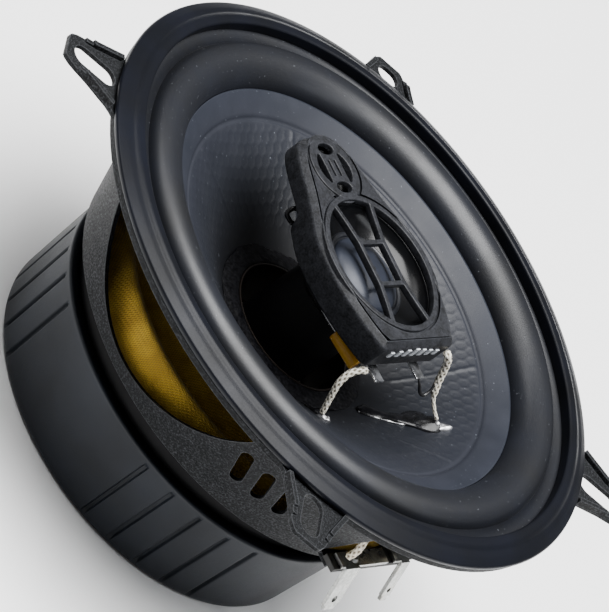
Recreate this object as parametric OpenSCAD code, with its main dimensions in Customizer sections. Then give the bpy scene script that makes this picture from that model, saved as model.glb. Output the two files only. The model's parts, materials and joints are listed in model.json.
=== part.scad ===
// Coaxial car loudspeaker: basket, motor, cone, tweeter bridge, leads and terminals.
// Millimetres. Z = 0 is the back face of the mounting flange, +Z is the listening side.

/* [Frame and flange] */
// Outside diameter of the rubber trim ring
ring_d = 130; // [120:0.5:140]
// Outside diameter of the metal flange
flange_d = 128.8; // [118:0.2:138]
// Thickness of the metal flange
flange_t = 2; // [1:0.1:4]
// Distance from the axis to the tip of a mounting tab
tab_tip_r = 77.9; // [72:0.1:82]
// Width of a mounting tab where it leaves the flange
tab_root_w = 18.4; // [14:0.2:24]
// Width of a mounting tab at its tip
tab_tip_w = 6.6; // [6.2:0.1:9]
// Height of the turned-up lips along a tab, above the tab
tab_lip_h = 1.2; // [0.5:0.1:2.5]
// Thickness of the sheet in the tabs and their lips
tab_t = 1; // [0.6:0.1:1.4]
// Distance from the axis to the tip of the short tab
short_tip_r = 73; // [71:0.1:76]
// Width of the slot in a mounting tab
slot_w = 5; // [3:0.1:6]
// Length of the slot in a mounting tab, end to end
slot_len = 10.8; // [7:0.1:11]
// Distance from the axis to the middle of a slot
slot_mid_r = 70.7; // [70:0.1:71.4]

/* [Basket] */
// Outside radius of the basket wall just below the flange
wall_top_r = 56.2; // [52:0.1:60]
// Outside radius of the basket wall at its lower edge
wall_low_r = 46; // [42:0.1:50]
// Depth of the basket below the flange
basket_depth = 26.8; // [22:0.1:36]
// Thickness of the basket wall, measured level
wall_t = 1; // [0.8:0.1:2]
// Depth of the side windows below the flange
window_depth = 23.7; // [16:0.1:24]
// Half of the width of the side windows at the top
window_half_w = 30.6; // [20:0.5:30]
// Number of slanted vent slots beside the terminal side
vent_slots = 3; // [0:1:4]

/* [Cone and suspension] */
// Radius where the cone meets the surround
cone_r = 46.2; // [42:0.1:50]
// Height of the cone's outer edge
cone_edge_z = 0.5; // [-3:0.1:3]
// Radius of the glue ring at the cone's neck
neck_r = 19.4; // [16:0.1:22]
// Height of the glue ring at the cone's neck
neck_z = -15; // [-20:0.1:-10]
// Extra height at the middle of the cone's slope, per square millimetre
cone_bow = 0.004; // [0:0.001:0.008]
// Sheet thickness of the cone
cone_t = 0.8; // [0.3:0.1:1.5]
// Width of the surround's half roll
roll_w = 9.6; // [7:0.1:12]
// Height of the surround's half roll
roll_h = 4.3; // [3:0.1:6]
// Sheet thickness of the surround
roll_t = 0.7; // [0.4:0.1:1.2]
// Height of the middle of the spider's outermost wave
spider_z = -21.4; // [-24:0.1:-19]
// Distance from crest to crest on the spider
spider_pitch = 10.4; // [5:0.1:14]
// Height of the outermost spider wave above its middle
spider_wave = 2.6; // [1:0.1:3]
// Thickness of the spider cloth
spider_t = 0.5; // [0.3:0.1:1]
// Travel of the cone each way
cone_travel = 3.5; // [1:0.5:5]

/* [Motor] */
// Inside radius of the voice coil former
former_in_r = 14.4; // [12:0.1:16]
// Thickness of the voice coil former
former_t = 0.3; // [0.1:0.05:0.5]
// Radial thickness of the winding
winding_t = 0.45; // [0.3:0.05:0.8]
// Height of the winding
winding_h = 8.4; // [5:0.1:12]
// Outside radius of the top plate and the magnet
magnet_r = 41; // [36:0.5:45]
// Thickness of the top plate
plate_t = 6.2; // [4:0.1:8]
// Thickness of the ferrite magnet
magnet_t = 15; // [10:0.5:20]
// Thickness of the yoke's back plate
yoke_t = 5; // [3:0.1:8]
// Outside radius of the rubber boot at its front edge
boot_front_r = 43.5; // [42:0.1:47]
// Outside radius of the rubber boot at its back edge
boot_back_r = 42.2; // [41.5:0.1:46]
// Thickness of the rubber over the magnet's back
boot_back_t = 2; // [1:0.1:4]
// Number of grooves in each of the boot's four groups
boot_grooves = 5; // [1:1:9]

/* [Tweeter bridge] */
// Height of the bridge's top face
bridge_top_z = 10.6; // [8:0.1:14]
// Height of the bridge's lower edge under the large tweeter
bridge_low_z = 3; // [1:0.1:5]
// Thickness of the bridge's top face
bridge_t = 1.6; // [1:0.1:2.5]
// Radius of the large tweeter's opening
tweeter_r = 14.4; // [10:0.1:15]
// Distance from the axis to the middle of the small tweeter
small_y = 21.7; // [18:0.1:24]
// Radius of the small tweeter's opening
small_r = 5.8; // [4:0.1:7]
// Width of the bars over the openings
bar_w = 1.3; // [0.8:0.1:2]
// Radius of the centre post
post_r = 9.5; // [7:0.1:12]

/* [Terminals and leads] */
// Width of the large blade terminal
blade_large_w = 4.8; // [4.8:0.1:6.4]
// Width of the small blade terminal
blade_small_w = 2.8; // [2.8:0.1:4.8]
// Thickness of the blade terminals
blade_t = 0.8; // [0.5:0.1:1]
// Diameter of the braided leads
lead_d = 1.6; // [0.8:0.1:2.4]

/* [Hidden] */
$fn = 96;
frame_turn = 46;
tab_turns = [134, 224, 314];
short_turn = 44;
gap = 0.02;
wall_slope = (wall_top_r - wall_low_r) / basket_depth;
floor_t = 1.5;
floor_z = -basket_depth + floor_t;
spider_out_r = 45.8;
ledge_in_r = 44.6;
ledge_z = -24.3;
flange_in_r = 55;
window_r = (window_half_w ^ 2 + (window_depth - 2) ^ 2) / (2 * (window_depth - 2));
window_mid_z = window_r - window_depth;
terminal_window_w = 29;
ring_top_z = 5.2;
ring_in_r = 58.8;
lip_z = flange_t;
lip_t = 0.6;
lip_out_r = 62.4;
roll_in_r = cone_r + 0.1;
roll_mid_r = roll_in_r + roll_w / 2;
roll_rise = 1.5;
coil_r = former_in_r + former_t;
plate_top_z = -basket_depth;
plate_low_z = plate_top_z - plate_t;
magnet_low_z = plate_low_z - magnet_t;
yoke_low_z = magnet_low_z - yoke_t;
boot_low_z = yoke_low_z - boot_back_t;
pole_r = former_in_r - 0.4;
bore_r = coil_r + winding_t + 0.45;
rivet_ring_r = 32;
rivet_r = 1.5;
pad_left = [-11.2, -22.6];
pad_right = [17.2, -29.2];
pad_t = 1.1;
board_out_y = -49.8;
board_in_y = -46.2;
board_z = -24.2;
board_t = 1.2;
large_x = -7.9;
small_x = 10.6;
blade_z = board_z + board_t;
blade_splay = 22;
rivet_y = -47.9;
rivet_shift = 1.6;
base_t = 1.4;
lug_x = [-6.4, 8];
lug_t = 0.4;
lug_z = bridge_low_z - base_t - lug_t;

// Height of the cone's front face at radius r.
function cone_z(r) = neck_z + (r - neck_r) * (cone_edge_z - neck_z) / (cone_r - neck_r)
  + cone_bow * (r - neck_r) * (cone_r - r);

// Height of the spider's middle at radius r.
function spider_size(r) = max(0, min(1, (r - 15.6) / 3)) * (0.58 + 0.42 * (r - 16) / 30);
function spider_mid(r) = spider_z + 1.8 * (spider_out_r - r) / 30
  + spider_wave * spider_size(r) * cos(360 * (min(r, spider_out_r) - spider_out_r) / spider_pitch + 180);

// Outside radius of the basket wall at height z.
function wall_r(z) = wall_top_r + wall_slope * z;

// Everything is drawn with the terminals toward -Y, then turned so the tabs lie on the axes.
module turned() {
  rotate([0, 0, frame_turn])
    children();
}

// Half outline of the bridge, from the small tweeter's end to the front wall.
bridge_half = [[0, 29.7], [3.2, 29.4], [5.4, 28.7], [7, 27.5], [8.3, 25.6], [9.3, 23.4],
  [10.2, 20.8], [11.2, 17.8], [12.5, 14.6], [14.1, 11.2], [15.7, 7.6], [16.6, 4.2], [16.9, 0.8],
  [16.8, -2.8],
  [16.3, -6.6], [15.4, -10.2], [14.4, -13.4], [13.3, -16.2], [12.2, -18.1], [11, -18.8]];

function bridge_outline(inset) = concat(
  [for (p = bridge_half) [max(0, p[0] - inset), p[1] > 0 ? p[1] - inset : p[1]]],
  [for (i = [len(bridge_half) - 1:-1:1])
    let (p = bridge_half[i])
    [-max(0, p[0] - inset), p[1] > 0 ? p[1] - inset : p[1]]]);

// Slot of length len and width w, centred at radius mid_r and running along the radius.
module slot(mid_r, len, w) {
  for (end = [-1, 1])
    translate([mid_r + end * (len - w) / 2, 0, -1])
      cylinder(d = w, h = flange_t + 4);
  translate([mid_r - (len - w) / 2, -w / 2, -1])
    cube([len - w, w, flange_t + 4]);
}

// Upper side of a long tab's outline, from the flange to the tip.
tab_side = [[60, tab_root_w / 2 + 1.2], [63.6, tab_root_w / 2], [64.6, tab_root_w / 2 - 0.9],
  [66, tab_root_w / 2 - 1.7], [71.7, 5.5], [75, 4.7], [tab_tip_r - 1.7, tab_tip_w / 2 + 1],
  [tab_tip_r - 0.4, tab_tip_w / 2 + 0.2], [tab_tip_r, tab_tip_w / 2 - 0.4]];

// The same for the short tab.
short_side = [[60, 9.4], [63.6, 8], [66, 6.7], [68.2, 5.7], [short_tip_r - 1.6, 4.4],
  [short_tip_r - 0.5, 3.4], [short_tip_r, 2.8]];

module tab_plate(side) {
  last = len(side) - 1;
  translate([0, 0, flange_t - tab_t])
    linear_extrude(tab_t)
      polygon(concat(side, [for (i = [last:-1:0]) [side[i][0], -side[i][1]]]));
}

// Turned-up lips along both sides of a tab, following the outline from start to end.
module tab_lips(start, middle, end, h) {
  inward = [0.25, tab_t];
  for (side = [0, 1])
    mirror([0, side, 0])
      translate([0, 0, flange_t - tab_t / 2])
        linear_extrude(h + tab_t / 2)
          polygon([start, middle, end, end - inward, middle - inward, start - inward]);
}

module basket() {
  color([0.26, 0.27, 0.28])
    turned() {
      difference() {
        union() {
          rotate_extrude()
            polygon([[flange_in_r, flange_t], [flange_in_r - 0.2, 0.6],
              [wall_r(ledge_z) - wall_t, ledge_z], [ledge_in_r, ledge_z], [ledge_in_r, floor_z],
              [bore_r + 0.3, floor_z], [bore_r + 0.3, -basket_depth],
              [wall_low_r, -basket_depth], [wall_r(-0.8), -0.8], [wall_top_r + 1.2, 0],
              [flange_d / 2 - 2.2, 0], [flange_d / 2, 0.75], [flange_d / 2, flange_t]]);
          for (turn = tab_turns)
            rotate([0, 0, turn])
              long_tab();
          rotate([0, 0, short_turn])
            short_tab();
          translate([-12.5, -48, board_z - 1])
            cube([25, 3, 1]);
        }
        for (turn = [0, 90, 180])
          rotate([0, 0, turn])
            side_window();
        terminal_window();
        for (turn = tab_turns)
          rotate([0, 0, turn])
            slot(slot_mid_r, slot_len, slot_w);
        rotate([0, 0, short_turn])
          translate([69.2, 0, 0])
            rotate([0, 0, 90])
              slot(0, 5.6, 4.2);
        for (i = [0:1:vent_slots - 1])
          rotate([0, 0, -137 + (i - (vent_slots - 1) / 2) * 6.6])
            vent_slot();
        for (turn = [45:90:315])
          rotate([0, 0, turn])
            translate([rivet_ring_r, 0, -basket_depth - 1])
              cylinder(r = rivet_r, h = floor_t + 2);
      }
    }
}

module long_tab() {
  tab_plate(tab_side);
  tab_lips([65.3, 8], [71.7, 5.5], [72.8, 5.23], tab_lip_h);
  tab_lips([71.7, 5.5], [72.8, 5.23], [74.4, 4.84], tab_lip_h / 2);
}

module short_tab() {
  tab_plate(short_side);
  tab_lips([65.4, 7], [68.2, 5.7], [69.8, 5.09], tab_lip_h);
  tab_lips([68.2, 5.7], [69.8, 5.09], [71, 4.63], tab_lip_h / 2);
}

module side_window() {
  intersection() {
    translate([38, 0, window_mid_z])
      rotate([0, 90, 0])
        cylinder(r = window_r, h = 30);
    translate([38, -40, -40])
      cube([30, 80, 38]);
  }
}

module terminal_window() {
  translate([-terminal_window_w / 2, -70, board_z])
    cube([terminal_window_w, 28, -2 - board_z]);
}

module vent_slot() {
  translate([0, 0, -13.8])
    rotate([22, 0, 0])
      rotate([0, 90, 0])
        translate([0, 0, 42]) {
          for (end = [-1, 1])
            translate([end * 3.4, 0, 0])
              cylinder(r = 1.45, h = 20);
          translate([-3.4, -1.45, 0])
            cube([6.8, 2.9, 20]);
        }
}

module basket_rivets() {
  color([0.6, 0.6, 0.58])
    turned()
      for (turn = [45:90:315])
        rotate([0, 0, turn])
          translate([rivet_ring_r, 0, 0]) {
            translate([0, 0, -basket_depth - 4])
              cylinder(r = rivet_r, h = floor_t + 4);
            translate([0, 0, floor_z])
              cylinder(r1 = 3, r2 = 2.4, h = 1.1);
          }
}

module terminal_board() {
  color([0.1, 0.09, 0.08])
    turned()
      difference() {
        translate([-13, board_out_y, board_z])
          cube([26, board_in_y - board_out_y, board_t]);
        for (x = [large_x + rivet_shift, small_x + rivet_shift])
          translate([x, rivet_y, board_z - 1])
            cylinder(r = 0.9, h = board_t + 2);
      }
}

module terminal_rivets() {
  color([0.72, 0.7, 0.66])
    turned()
      for (x = [large_x + rivet_shift, small_x + rivet_shift])
        translate([x, rivet_y, board_z]) {
          cylinder(r = 0.9, h = board_t + blade_t);
          translate([0, 0, board_t + blade_t])
            cylinder(r1 = 1.5, r2 = 1, h = 0.6);
        }
}

// A blade that starts flat on the board and bends down past its outer edge.
module blade(x, w, base_from, base_to, tip_len) {
  bend = [board_out_y - 0.1, blade_z];
  along = [-sin(blade_splay), -cos(blade_splay)];
  out = [-cos(blade_splay), sin(blade_splay)];
  up = blade_t * (1 - sin(blade_splay)) / cos(blade_splay);
  turned()
    difference() {
      union() {
        translate([x - w / 2, 0, 0])
          rotate([90, 0, 90])
            linear_extrude(w)
              polygon([[board_in_y - 0.4, blade_z], bend, bend + along * (tip_len - 1.1),
                bend + along * (tip_len - 1.1) + out * blade_t, bend + out * blade_t - along * up,
                [board_in_y - 0.4, blade_z + blade_t]]);
        translate([x - w * 0.34, 0, 0])
          rotate([90, 0, 90])
            linear_extrude(w * 0.68)
              polygon([bend + along * (tip_len - 1.2), bend + along * tip_len,
                bend + along * tip_len + out * blade_t,
                bend + along * (tip_len - 1.2) + out * blade_t]);
        translate([base_from, bend[0], blade_z])
          cube([base_to - base_from, board_in_y - 0.4 - bend[0], blade_t]);
      }
      translate([x, bend[0], bend[1]])
        rotate([-blade_splay, 0, 0])
          translate([0, 1, -tip_len + 2.6])
            rotate([90, 0, 0])
              cylinder(r = w > 4 ? 0.8 : 0.55, h = 4);
      translate([x + rivet_shift, rivet_y, board_z])
        cylinder(r = 0.9, h = 4);
    }
}

module terminal_positive() {
  color([0.78, 0.77, 0.74])
    blade(large_x, blade_large_w, -11.1, 4.8, 9.8);
}

module terminal_negative() {
  color([0.78, 0.77, 0.74])
    blade(small_x, blade_small_w, 7.4, 13, 9.2);
}

module top_plate() {
  color([0.09, 0.09, 0.1])
    turned()
      difference() {
        translate([0, 0, plate_low_z])
          cylinder(r = magnet_r, h = plate_t);
        translate([0, 0, plate_low_z - 1])
          cylinder(r = bore_r, h = plate_t + 2);
        for (turn = [45:90:315])
          rotate([0, 0, turn])
            translate([rivet_ring_r, 0, plate_top_z - 4])
              cylinder(r = rivet_r, h = 5);
      }
}

module ferrite_magnet() {
  color([0.12, 0.12, 0.13])
    turned()
      difference() {
        translate([0, 0, magnet_low_z])
          cylinder(r = magnet_r, h = magnet_t);
        translate([0, 0, magnet_low_z - 1])
          cylinder(r = 21, h = magnet_t + 2);
      }
}

module t_yoke() {
  color([0.62, 0.62, 0.6])
    turned()
      difference() {
        union() {
          translate([0, 0, yoke_low_z])
            cylinder(r = magnet_r - 1.5, h = yoke_t);
          translate([0, 0, magnet_low_z])
            cylinder(r = pole_r, h = plate_top_z - magnet_low_z);
        }
        translate([0, 0, yoke_low_z - 1])
          cylinder(r = 2.1, h = 40);
        translate([0, 0, yoke_low_z - 1])
          cylinder(r = 4.3, h = 3.6);
      }
}

module magnet_boot() {
  color([0.14, 0.17, 0.19])
    turned()
      difference() {
        rotate_extrude()
          polygon([[0, boot_low_z], [boot_back_r - 1.6, boot_low_z], [boot_back_r - 0.6, boot_low_z + 0.3],
            [boot_back_r - 0.1, boot_low_z + 1.1], [boot_back_r, boot_low_z + 2],
            [boot_front_r, plate_low_z - 0.6], [boot_front_r - 0.3, plate_low_z],
            [magnet_r, plate_low_z], [magnet_r, magnet_low_z],
            [magnet_r - 1.5, magnet_low_z], [magnet_r - 1.5, yoke_low_z], [0, yoke_low_z]]);
        for (side = [45:90:315], i = [0:1:boot_grooves - 1])
          rotate([0, 0, side + (i - (boot_grooves - 1) / 2) * 10])
            translate([boot_back_r - 0.4, -0.55, boot_low_z + 1.6])
              cube([6, 1.1, plate_low_z - boot_low_z - 3.4]);
        translate([0, 0, boot_low_z - 1])
          cylinder(r = 26, h = 1.5);
      }
}

module post_screw() {
  color([0.55, 0.55, 0.53])
    turned()
      difference() {
        union() {
          translate([0, 0, yoke_low_z + 0.2])
            cylinder(r = 3.9, h = 2.4);
          translate([0, 0, yoke_low_z + 2.6])
            cylinder(r = 2, h = 38);
        }
        for (turn = [0, 90])
          rotate([0, 0, turn])
            translate([-2, -0.4, yoke_low_z - 1])
              cube([4, 0.8, 2.6]);
      }
}

module centre_post() {
  color([0.05, 0.05, 0.055])
    turned()
      difference() {
        union() {
          translate([0, 0, plate_top_z])
            cylinder(r = post_r, h = bridge_low_z - base_t - plate_top_z);
          translate([0, 0, bridge_low_z - base_t - 4])
            cylinder(r1 = post_r, r2 = post_r + 1.9, h = 4);
        }
        translate([0, 0, plate_top_z - 1])
          cylinder(r = 2.05, h = 18);
      }
}

module bridge_base() {
  color([0.08, 0.08, 0.085])
    turned() {
      translate([0, 0, bridge_low_z - base_t])
        cylinder(r = 15, h = base_t);
      translate([0, 0, bridge_low_z])
        cylinder(r = 14.6, h = 0.9);
    }
}

module tweeter_housing() {
  color([0.15, 0.15, 0.16])
    turned()
      difference() {
        union() {
          translate([0, 0, 5.4])
            linear_extrude(bridge_top_z - 5.4)
              polygon(bridge_outline(0));
          intersection() {
            translate([0, 0, bridge_low_z])
              linear_extrude(2.6)
                polygon(bridge_outline(0));
            translate([-20, -30, 0])
              cube([40, 43, 8]);
          }
        }
        translate([0, 0, bridge_low_z - 1])
          cylinder(r = 14.65, h = bridge_top_z - bridge_t - bridge_low_z + 1);
        translate([0, small_y, bridge_low_z - 1])
          cylinder(r = 6.85, h = bridge_top_z - bridge_t - bridge_low_z + 1);
        difference() {
          translate([0, 0, bridge_low_z])
            cylinder(r = tweeter_r, h = 12);
          tweeter_bars();
        }
        difference() {
          translate([0, small_y, bridge_low_z])
            cylinder(r = small_r, h = 12);
          small_bars();
        }
        seam_groove();
      }
}

// Bars over the large opening: a small frame in the middle whose corners flare to the rim.
module tweeter_bars() {
  half = bar_w / 2;
  translate([0, 0, bridge_top_z - bridge_t])
    linear_extrude(bridge_t)
      for (side = [0, 1], end = [0, 1])
        mirror([side, 0])
          mirror([0, end]) {
            polygon([[4.1 - half, -0.1], [4.1 + half, -0.1], [4.1 + half, 4.7], [5.1 + half, 9.4],
              [6.7 + half, 15], [6.7 - half, 15], [5.1 - half, 9.4], [4.1 - half, 4.7]]);
            polygon([[-0.1, 4.2], [4.1, 4.2], [4.1, 5.2], [-0.1, 5.2]]);
          }
}

// Cover of the small opening: two side crescents, two middle slots and an oval at each end.
module small_bars() {
  translate([0, small_y, bridge_top_z - bridge_t])
    linear_extrude(bridge_t)
      difference() {
        circle(r = small_r + 0.2);
        for (side = [0, 1], end = [0, 1])
          mirror([side, 0])
            mirror([0, end]) {
              polygon([[3, -0.1], [5.1, -0.1], [4.9, 1.4], [4.3, 2.7], [3.4, 2.7]]);
              polygon([[0.35, -0.1], [2.2, -0.1], [2.2, 2.3], [0.35, 2.3]]);
            }
        for (end = [-1, 1])
          translate([0, end * 4.3])
            scale([1.9, 1])
              circle(r = 1.15);
      }
}

module seam_groove() {
  difference() {
    translate([0, 0, bridge_top_z - 0.6])
      cylinder(r = 16.3, h = 2);
    translate([0, 0, bridge_top_z - 1])
      cylinder(r = 15.7, h = 3);
    translate([-30, 11.5, bridge_top_z - 1])
      cube([60, 20, 3]);
  }
  difference() {
    translate([0, small_y, bridge_top_z - 0.4])
      cylinder(r = 7.5, h = 2);
    translate([0, small_y, bridge_top_z - 1])
      cylinder(r = 7.05, h = 3);
    translate([-30, 5, bridge_top_z - 1])
      cube([60, 10.5, 3]);
  }
}

// Plain raised bars on the bridge's front wall.
module badge_bars() {
  color([0.8, 0.8, 0.82])
    turned()
      for (i = [-3:1:3])
        translate([i * 2.6 - 0.6, -19.1, 6.6])
          cube([1.2, 0.3, 2.4 - abs(i) * 0.3]);
}

module tweeter_cup() {
  color([0.04, 0.04, 0.045])
    turned()
      rotate_extrude()
        polygon([[9.3, bridge_low_z + 0.9], [14.6, bridge_low_z + 0.9], [14.6, bridge_top_z - bridge_t],
          [14.1, bridge_top_z - bridge_t], [13.6, 7.6], [12.8, 6.4], [11.6, 5.6], [10.4, 5.2], [9.3, 5.2]]);
}

module tweeter_magnet() {
  color([0.5, 0.5, 0.5])
    turned()
      translate([0, 0, bridge_low_z + 0.9])
        cylinder(r = 7.4, h = 0.9);
}

module tweeter_surround() {
  color([0.03, 0.03, 0.032])
    turned()
      rotate_extrude()
        polygon([[8.5, 5.5], [8.7, 5.55], [8.9, 5.9], [9.3, 6.05], [9.7, 5.9], [9.9, 5.5],
          [10.4, 5.5], [10.4, 5.3], [9.75, 5.3], [9.55, 5.7], [9.3, 5.8], [9.05, 5.7], [8.85, 5.35], [8.5, 5.3]]);
}

module tweeter_dome() {
  color([0.03, 0.03, 0.035])
    turned()
      rotate_extrude()
        polygon(concat(
          [for (i = [0:1:10]) [8.45 * sin(i * 9), 5.3 + 3 * cos(i * 9)]],
          [for (i = [10:-1:0]) [8.15 * sin(i * 9), 5.3 + 2.7 * cos(i * 9)]]));
}

module tweeter_coil() {
  color([0.6, 0.32, 0.15])
    turned()
      difference() {
        translate([0, 0, 4.3])
          cylinder(r = 8.4, h = 1);
        translate([0, 0, 3])
          cylinder(r = 8, h = 4);
      }
}

module small_tweeter_cup() {
  color([0.04, 0.04, 0.045])
    turned()
      translate([0, small_y, 0])
        rotate_extrude()
          polygon([[0, 5.4], [6.8, 5.4], [6.8, bridge_top_z - bridge_t], [6.2, bridge_top_z - bridge_t],
            [5.9, 7.2], [5, 6.4], [0, 6.4]]);
}

module small_tweeter_dome() {
  color([0.7, 0.7, 0.72])
    turned()
      translate([0, small_y, 0])
        rotate_extrude()
          polygon(concat(
            [for (i = [0:1:8]) [4.4 * sin(i * 11.25), 6.8 + 1.3 * cos(i * 11.25)]],
            [for (i = [8:-1:0]) [4.15 * sin(i * 11.25), 6.8 + 1.1 * cos(i * 11.25)]]));
}

module capacitor() {
  color([0.85, 0.5, 0.08])
    turned()
      translate([-8.9, -13.4, -0.5])
        rotate([90, 0, 10])
          translate([0, 0, -4.2])
            cylinder(r = 1.6, h = 7.6);
}

// Point on a smooth curve through the list, t counted in points from the first one.
function curve_point(p, t) =
  let (n = len(p), i = min(n - 2, floor(t)), u = t - i)
  let (a = p[max(0, i - 1)], b = p[i], c = p[i + 1], d = p[min(n - 1, i + 2)])
  b + u / 2 * (c - a) + u ^ 2 / 2 * (2 * a - 5 * b + 4 * c - d) + u ^ 3 / 2 * (3 * b - a - 3 * c + d);

// A round wire swept along a smooth curve. The side vector is never along the wire.
module wire(points, d, side = [0, 0, 1]) {
  corners = 10;
  steps = 5 * (len(points) - 1);
  path = [for (i = [0:1:steps]) curve_point(points, i * (len(points) - 1) / steps)];
  rings = [for (i = [0:1:steps])
    let (along = path[min(steps, i + 1)] - path[max(0, i - 1)])
    let (u = cross(along, side) / norm(cross(along, side)))
    let (v = cross(u, along) / norm(along))
    [for (k = [0:1:corners - 1])
      path[i] + d / 2 * (cos(360 * k / corners) * u + sin(360 * k / corners) * v)]];
  polyhedron(
    points = [for (ring = rings) each ring],
    faces = concat(
      [[for (k = [0:1:corners - 1]) k]],
      [[for (k = [corners - 1:-1:0]) steps * corners + k]],
      [for (i = [0:1:steps - 1], k = [0:1:corners - 1])
        [i * corners + k, (i + 1) * corners + k, i * corners + (k + 1) % corners]],
      [for (i = [0:1:steps - 1], k = [0:1:corners - 1])
        [(i + 1) * corners + k, (i + 1) * corners + (k + 1) % corners, i * corners + (k + 1) % corners]]));
}

module capacitor_leads() {
  color([0.8, 0.8, 0.8])
    turned() {
      wire([[-8.29, -16.85, -0.4], [-8.1, -17.7, -0.4], [-7.6, -18.6, -0.2],
            [-6.9, -19, 0.3], [-6.4, -19, 0.8]],
        0.6, [1, 0.4, 0]);
      wire([[-9.65, -9.15, -0.4], [-9.9, -8, -0.4], [-10.8, -6.2, -0.1],
            [-12.1, -4.4, 0.6], [-12.5, -3.8, 1.3]],
        0.6, [1, 0, 0]);
    }
}

module solder_lugs() {
  color([0.75, 0.74, 0.7])
    turned()
      for (x = lug_x)
        translate([x - 1.4, -21.7, lug_z])
          cube([2.8, 8.9, lug_t]);
}

module trim_ring() {
  color([0.2, 0.21, 0.24])
    turned()
      rotate_extrude()
        polygon([[ring_in_r, lip_z + lip_t], [lip_out_r, lip_z + lip_t], [lip_out_r, flange_t],
          [flange_d / 2 - 0.9, flange_t], [ring_d / 2 - 0.5, 2.4], [ring_d / 2, 2.9], [ring_d / 2 - 0.2, 3.5],
          [62.9, 4.3], [61.7, 4.6], [61.2, 4.95], [60.6, ring_top_z], [59.2, ring_top_z],
          [ring_in_r, ring_top_z - 0.3]]);
}

// Point of the half roll at angle a, with half width w and height h.
function roll_point(a, w, h) = [roll_mid_r + w * cos(a),
  cone_edge_z - 0.3 + roll_rise * (0.5 + 0.5 * cos(a)) + h * sin(a)];

module surround() {
  color([0.06, 0.065, 0.07])
    turned()
      rotate_extrude()
        polygon(concat(
          [[cone_r - 2.4, cone_z(cone_r - 2.4) - cone_t - gap], [cone_r + 0.05, cone_edge_z - cone_t - gap]],
          [[roll_in_r, cone_edge_z - 0.3]],
          [for (a = [172:-8:8]) roll_point(a, roll_w / 2, roll_h)],
          [[roll_mid_r + roll_w / 2, lip_z + lip_t], [lip_out_r, lip_z + lip_t], [lip_out_r, lip_z],
            [roll_mid_r + roll_w / 2 - roll_t, lip_z]],
          [for (a = [8:8:172]) roll_point(a, roll_w / 2 - roll_t, roll_h - roll_t)],
          [[roll_in_r + roll_t, cone_edge_z - 1.6], [cone_r - 2.4, cone_z(cone_r - 2.4) - cone_t - 0.62]]));
}

module cone() {
  color([0.2, 0.21, 0.235])
    turned()
      rotate_extrude()
        polygon(concat(
          [for (i = [0:1:12]) let (r = coil_r + (cone_r - coil_r) * i / 12) [r, cone_z(r)]],
          [for (i = [12:-1:0]) let (r = coil_r + (cone_r - coil_r) * i / 12) [r, cone_z(r) - cone_t]]));
}

module neck_glue_ring() {
  color([0.04, 0.04, 0.045])
    turned()
      rotate_extrude()
        polygon([[coil_r, neck_z - 0.4], [coil_r + 0.9, neck_z + 0.1], [coil_r + 2.4, neck_z - 0.1],
          [coil_r + 3.6, neck_z - 0.05], [neck_r, cone_z(neck_r) + gap],
          [coil_r + 2.8, cone_z(coil_r + 2.8) + gap], [coil_r, cone_z(coil_r) + gap]]);
}

module coil_former() {
  color([0.45, 0.3, 0.14])
    turned()
      difference() {
        translate([0, 0, -34.4])
          cylinder(r = coil_r, h = 34.4 + neck_z + 0.3);
        translate([0, 0, -35])
          cylinder(r = former_in_r, h = 30);
      }
}

module coil_winding() {
  color([0.6, 0.32, 0.15])
    turned()
      difference() {
        translate([0, 0, -29.9 - winding_h / 2])
          cylinder(r = coil_r + winding_t, h = winding_h);
        translate([0, 0, -36])
          cylinder(r = coil_r, h = 30);
      }
}

module spider() {
  steps = 60;
  in_r = coil_r + gap;
  color([0.78, 0.62, 0.16])
    turned()
      rotate_extrude()
        polygon(concat(
          [for (i = [0:1:steps])
            let (r = in_r + (spider_out_r - in_r) * i / steps)
            [r, spider_mid(r) + spider_t / 2]],
          [for (i = [steps:-1:0])
            let (r = in_r + (spider_out_r - in_r) * i / steps)
            [r, spider_mid(r) - spider_t / 2]]));
}

// Puts its children on the cone's front face at point p, standing square to the cone.
module on_cone(p, lift) {
  r = norm(p);
  slope = atan((cone_z(r + 1) - cone_z(r - 1)) / 2);
  rotate([0, 0, atan2(p[1], p[0])])
    translate([r, 0, cone_z(r)])
      rotate([0, -slope, 0])
        translate([0, 0, lift])
          children();
}

module solder_pads() {
  color([0.72, 0.72, 0.74])
    turned()
      for (p = [pad_left, pad_right])
        on_cone(p, 0.12)
          cylinder(r1 = 1.9, r2 = 1.2, h = pad_t);
}

// Points just above the cone, so that a wire of that height lies on it.
function along_cone(points, lift) = [for (p = points) [p[0], p[1], cone_z(norm(p)) + lift]];

module coil_lead_strips() {
  color([0.04, 0.04, 0.045])
    turned() {
      wire(along_cone([[6.6, -19.4], [8.4, -22], [11, -24.6], [13.6, -26.6], [14.9, -27.5]], 1.2), 1.7);
      wire(along_cone([[-8.6, -18.5], [-9.3, -19.6], [-9.9, -20.5]], 1.2), 1.7);
    }
}

module tinsel_lead_left() {
  color([0.86, 0.85, 0.8])
    turned()
      wire([[-8.7, -19, 1.2], [-10.6, -18.7, 1.2], [-12.4, -18.6, -0.4], [-13.2, -19.2, -3],
        [-12.6, -20.4, -6.4], [-11.6, -21.7, -9.2]], lead_d, [1, -0.5, 0]);
}

module tinsel_lead_right() {
  color([0.86, 0.85, 0.8])
    turned()
      wire([[11.2, -19, 7.6], [11.8, -20.4, 7], [12.9, -21.4, 4.6], [13.4, -22.8, 1.4],
        [14, -24.6, -1.4], [15.2, -26.8, -3.4], [16.3, -28.2, -4.4]], lead_d, [1, 0.8, 0]);
}

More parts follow.
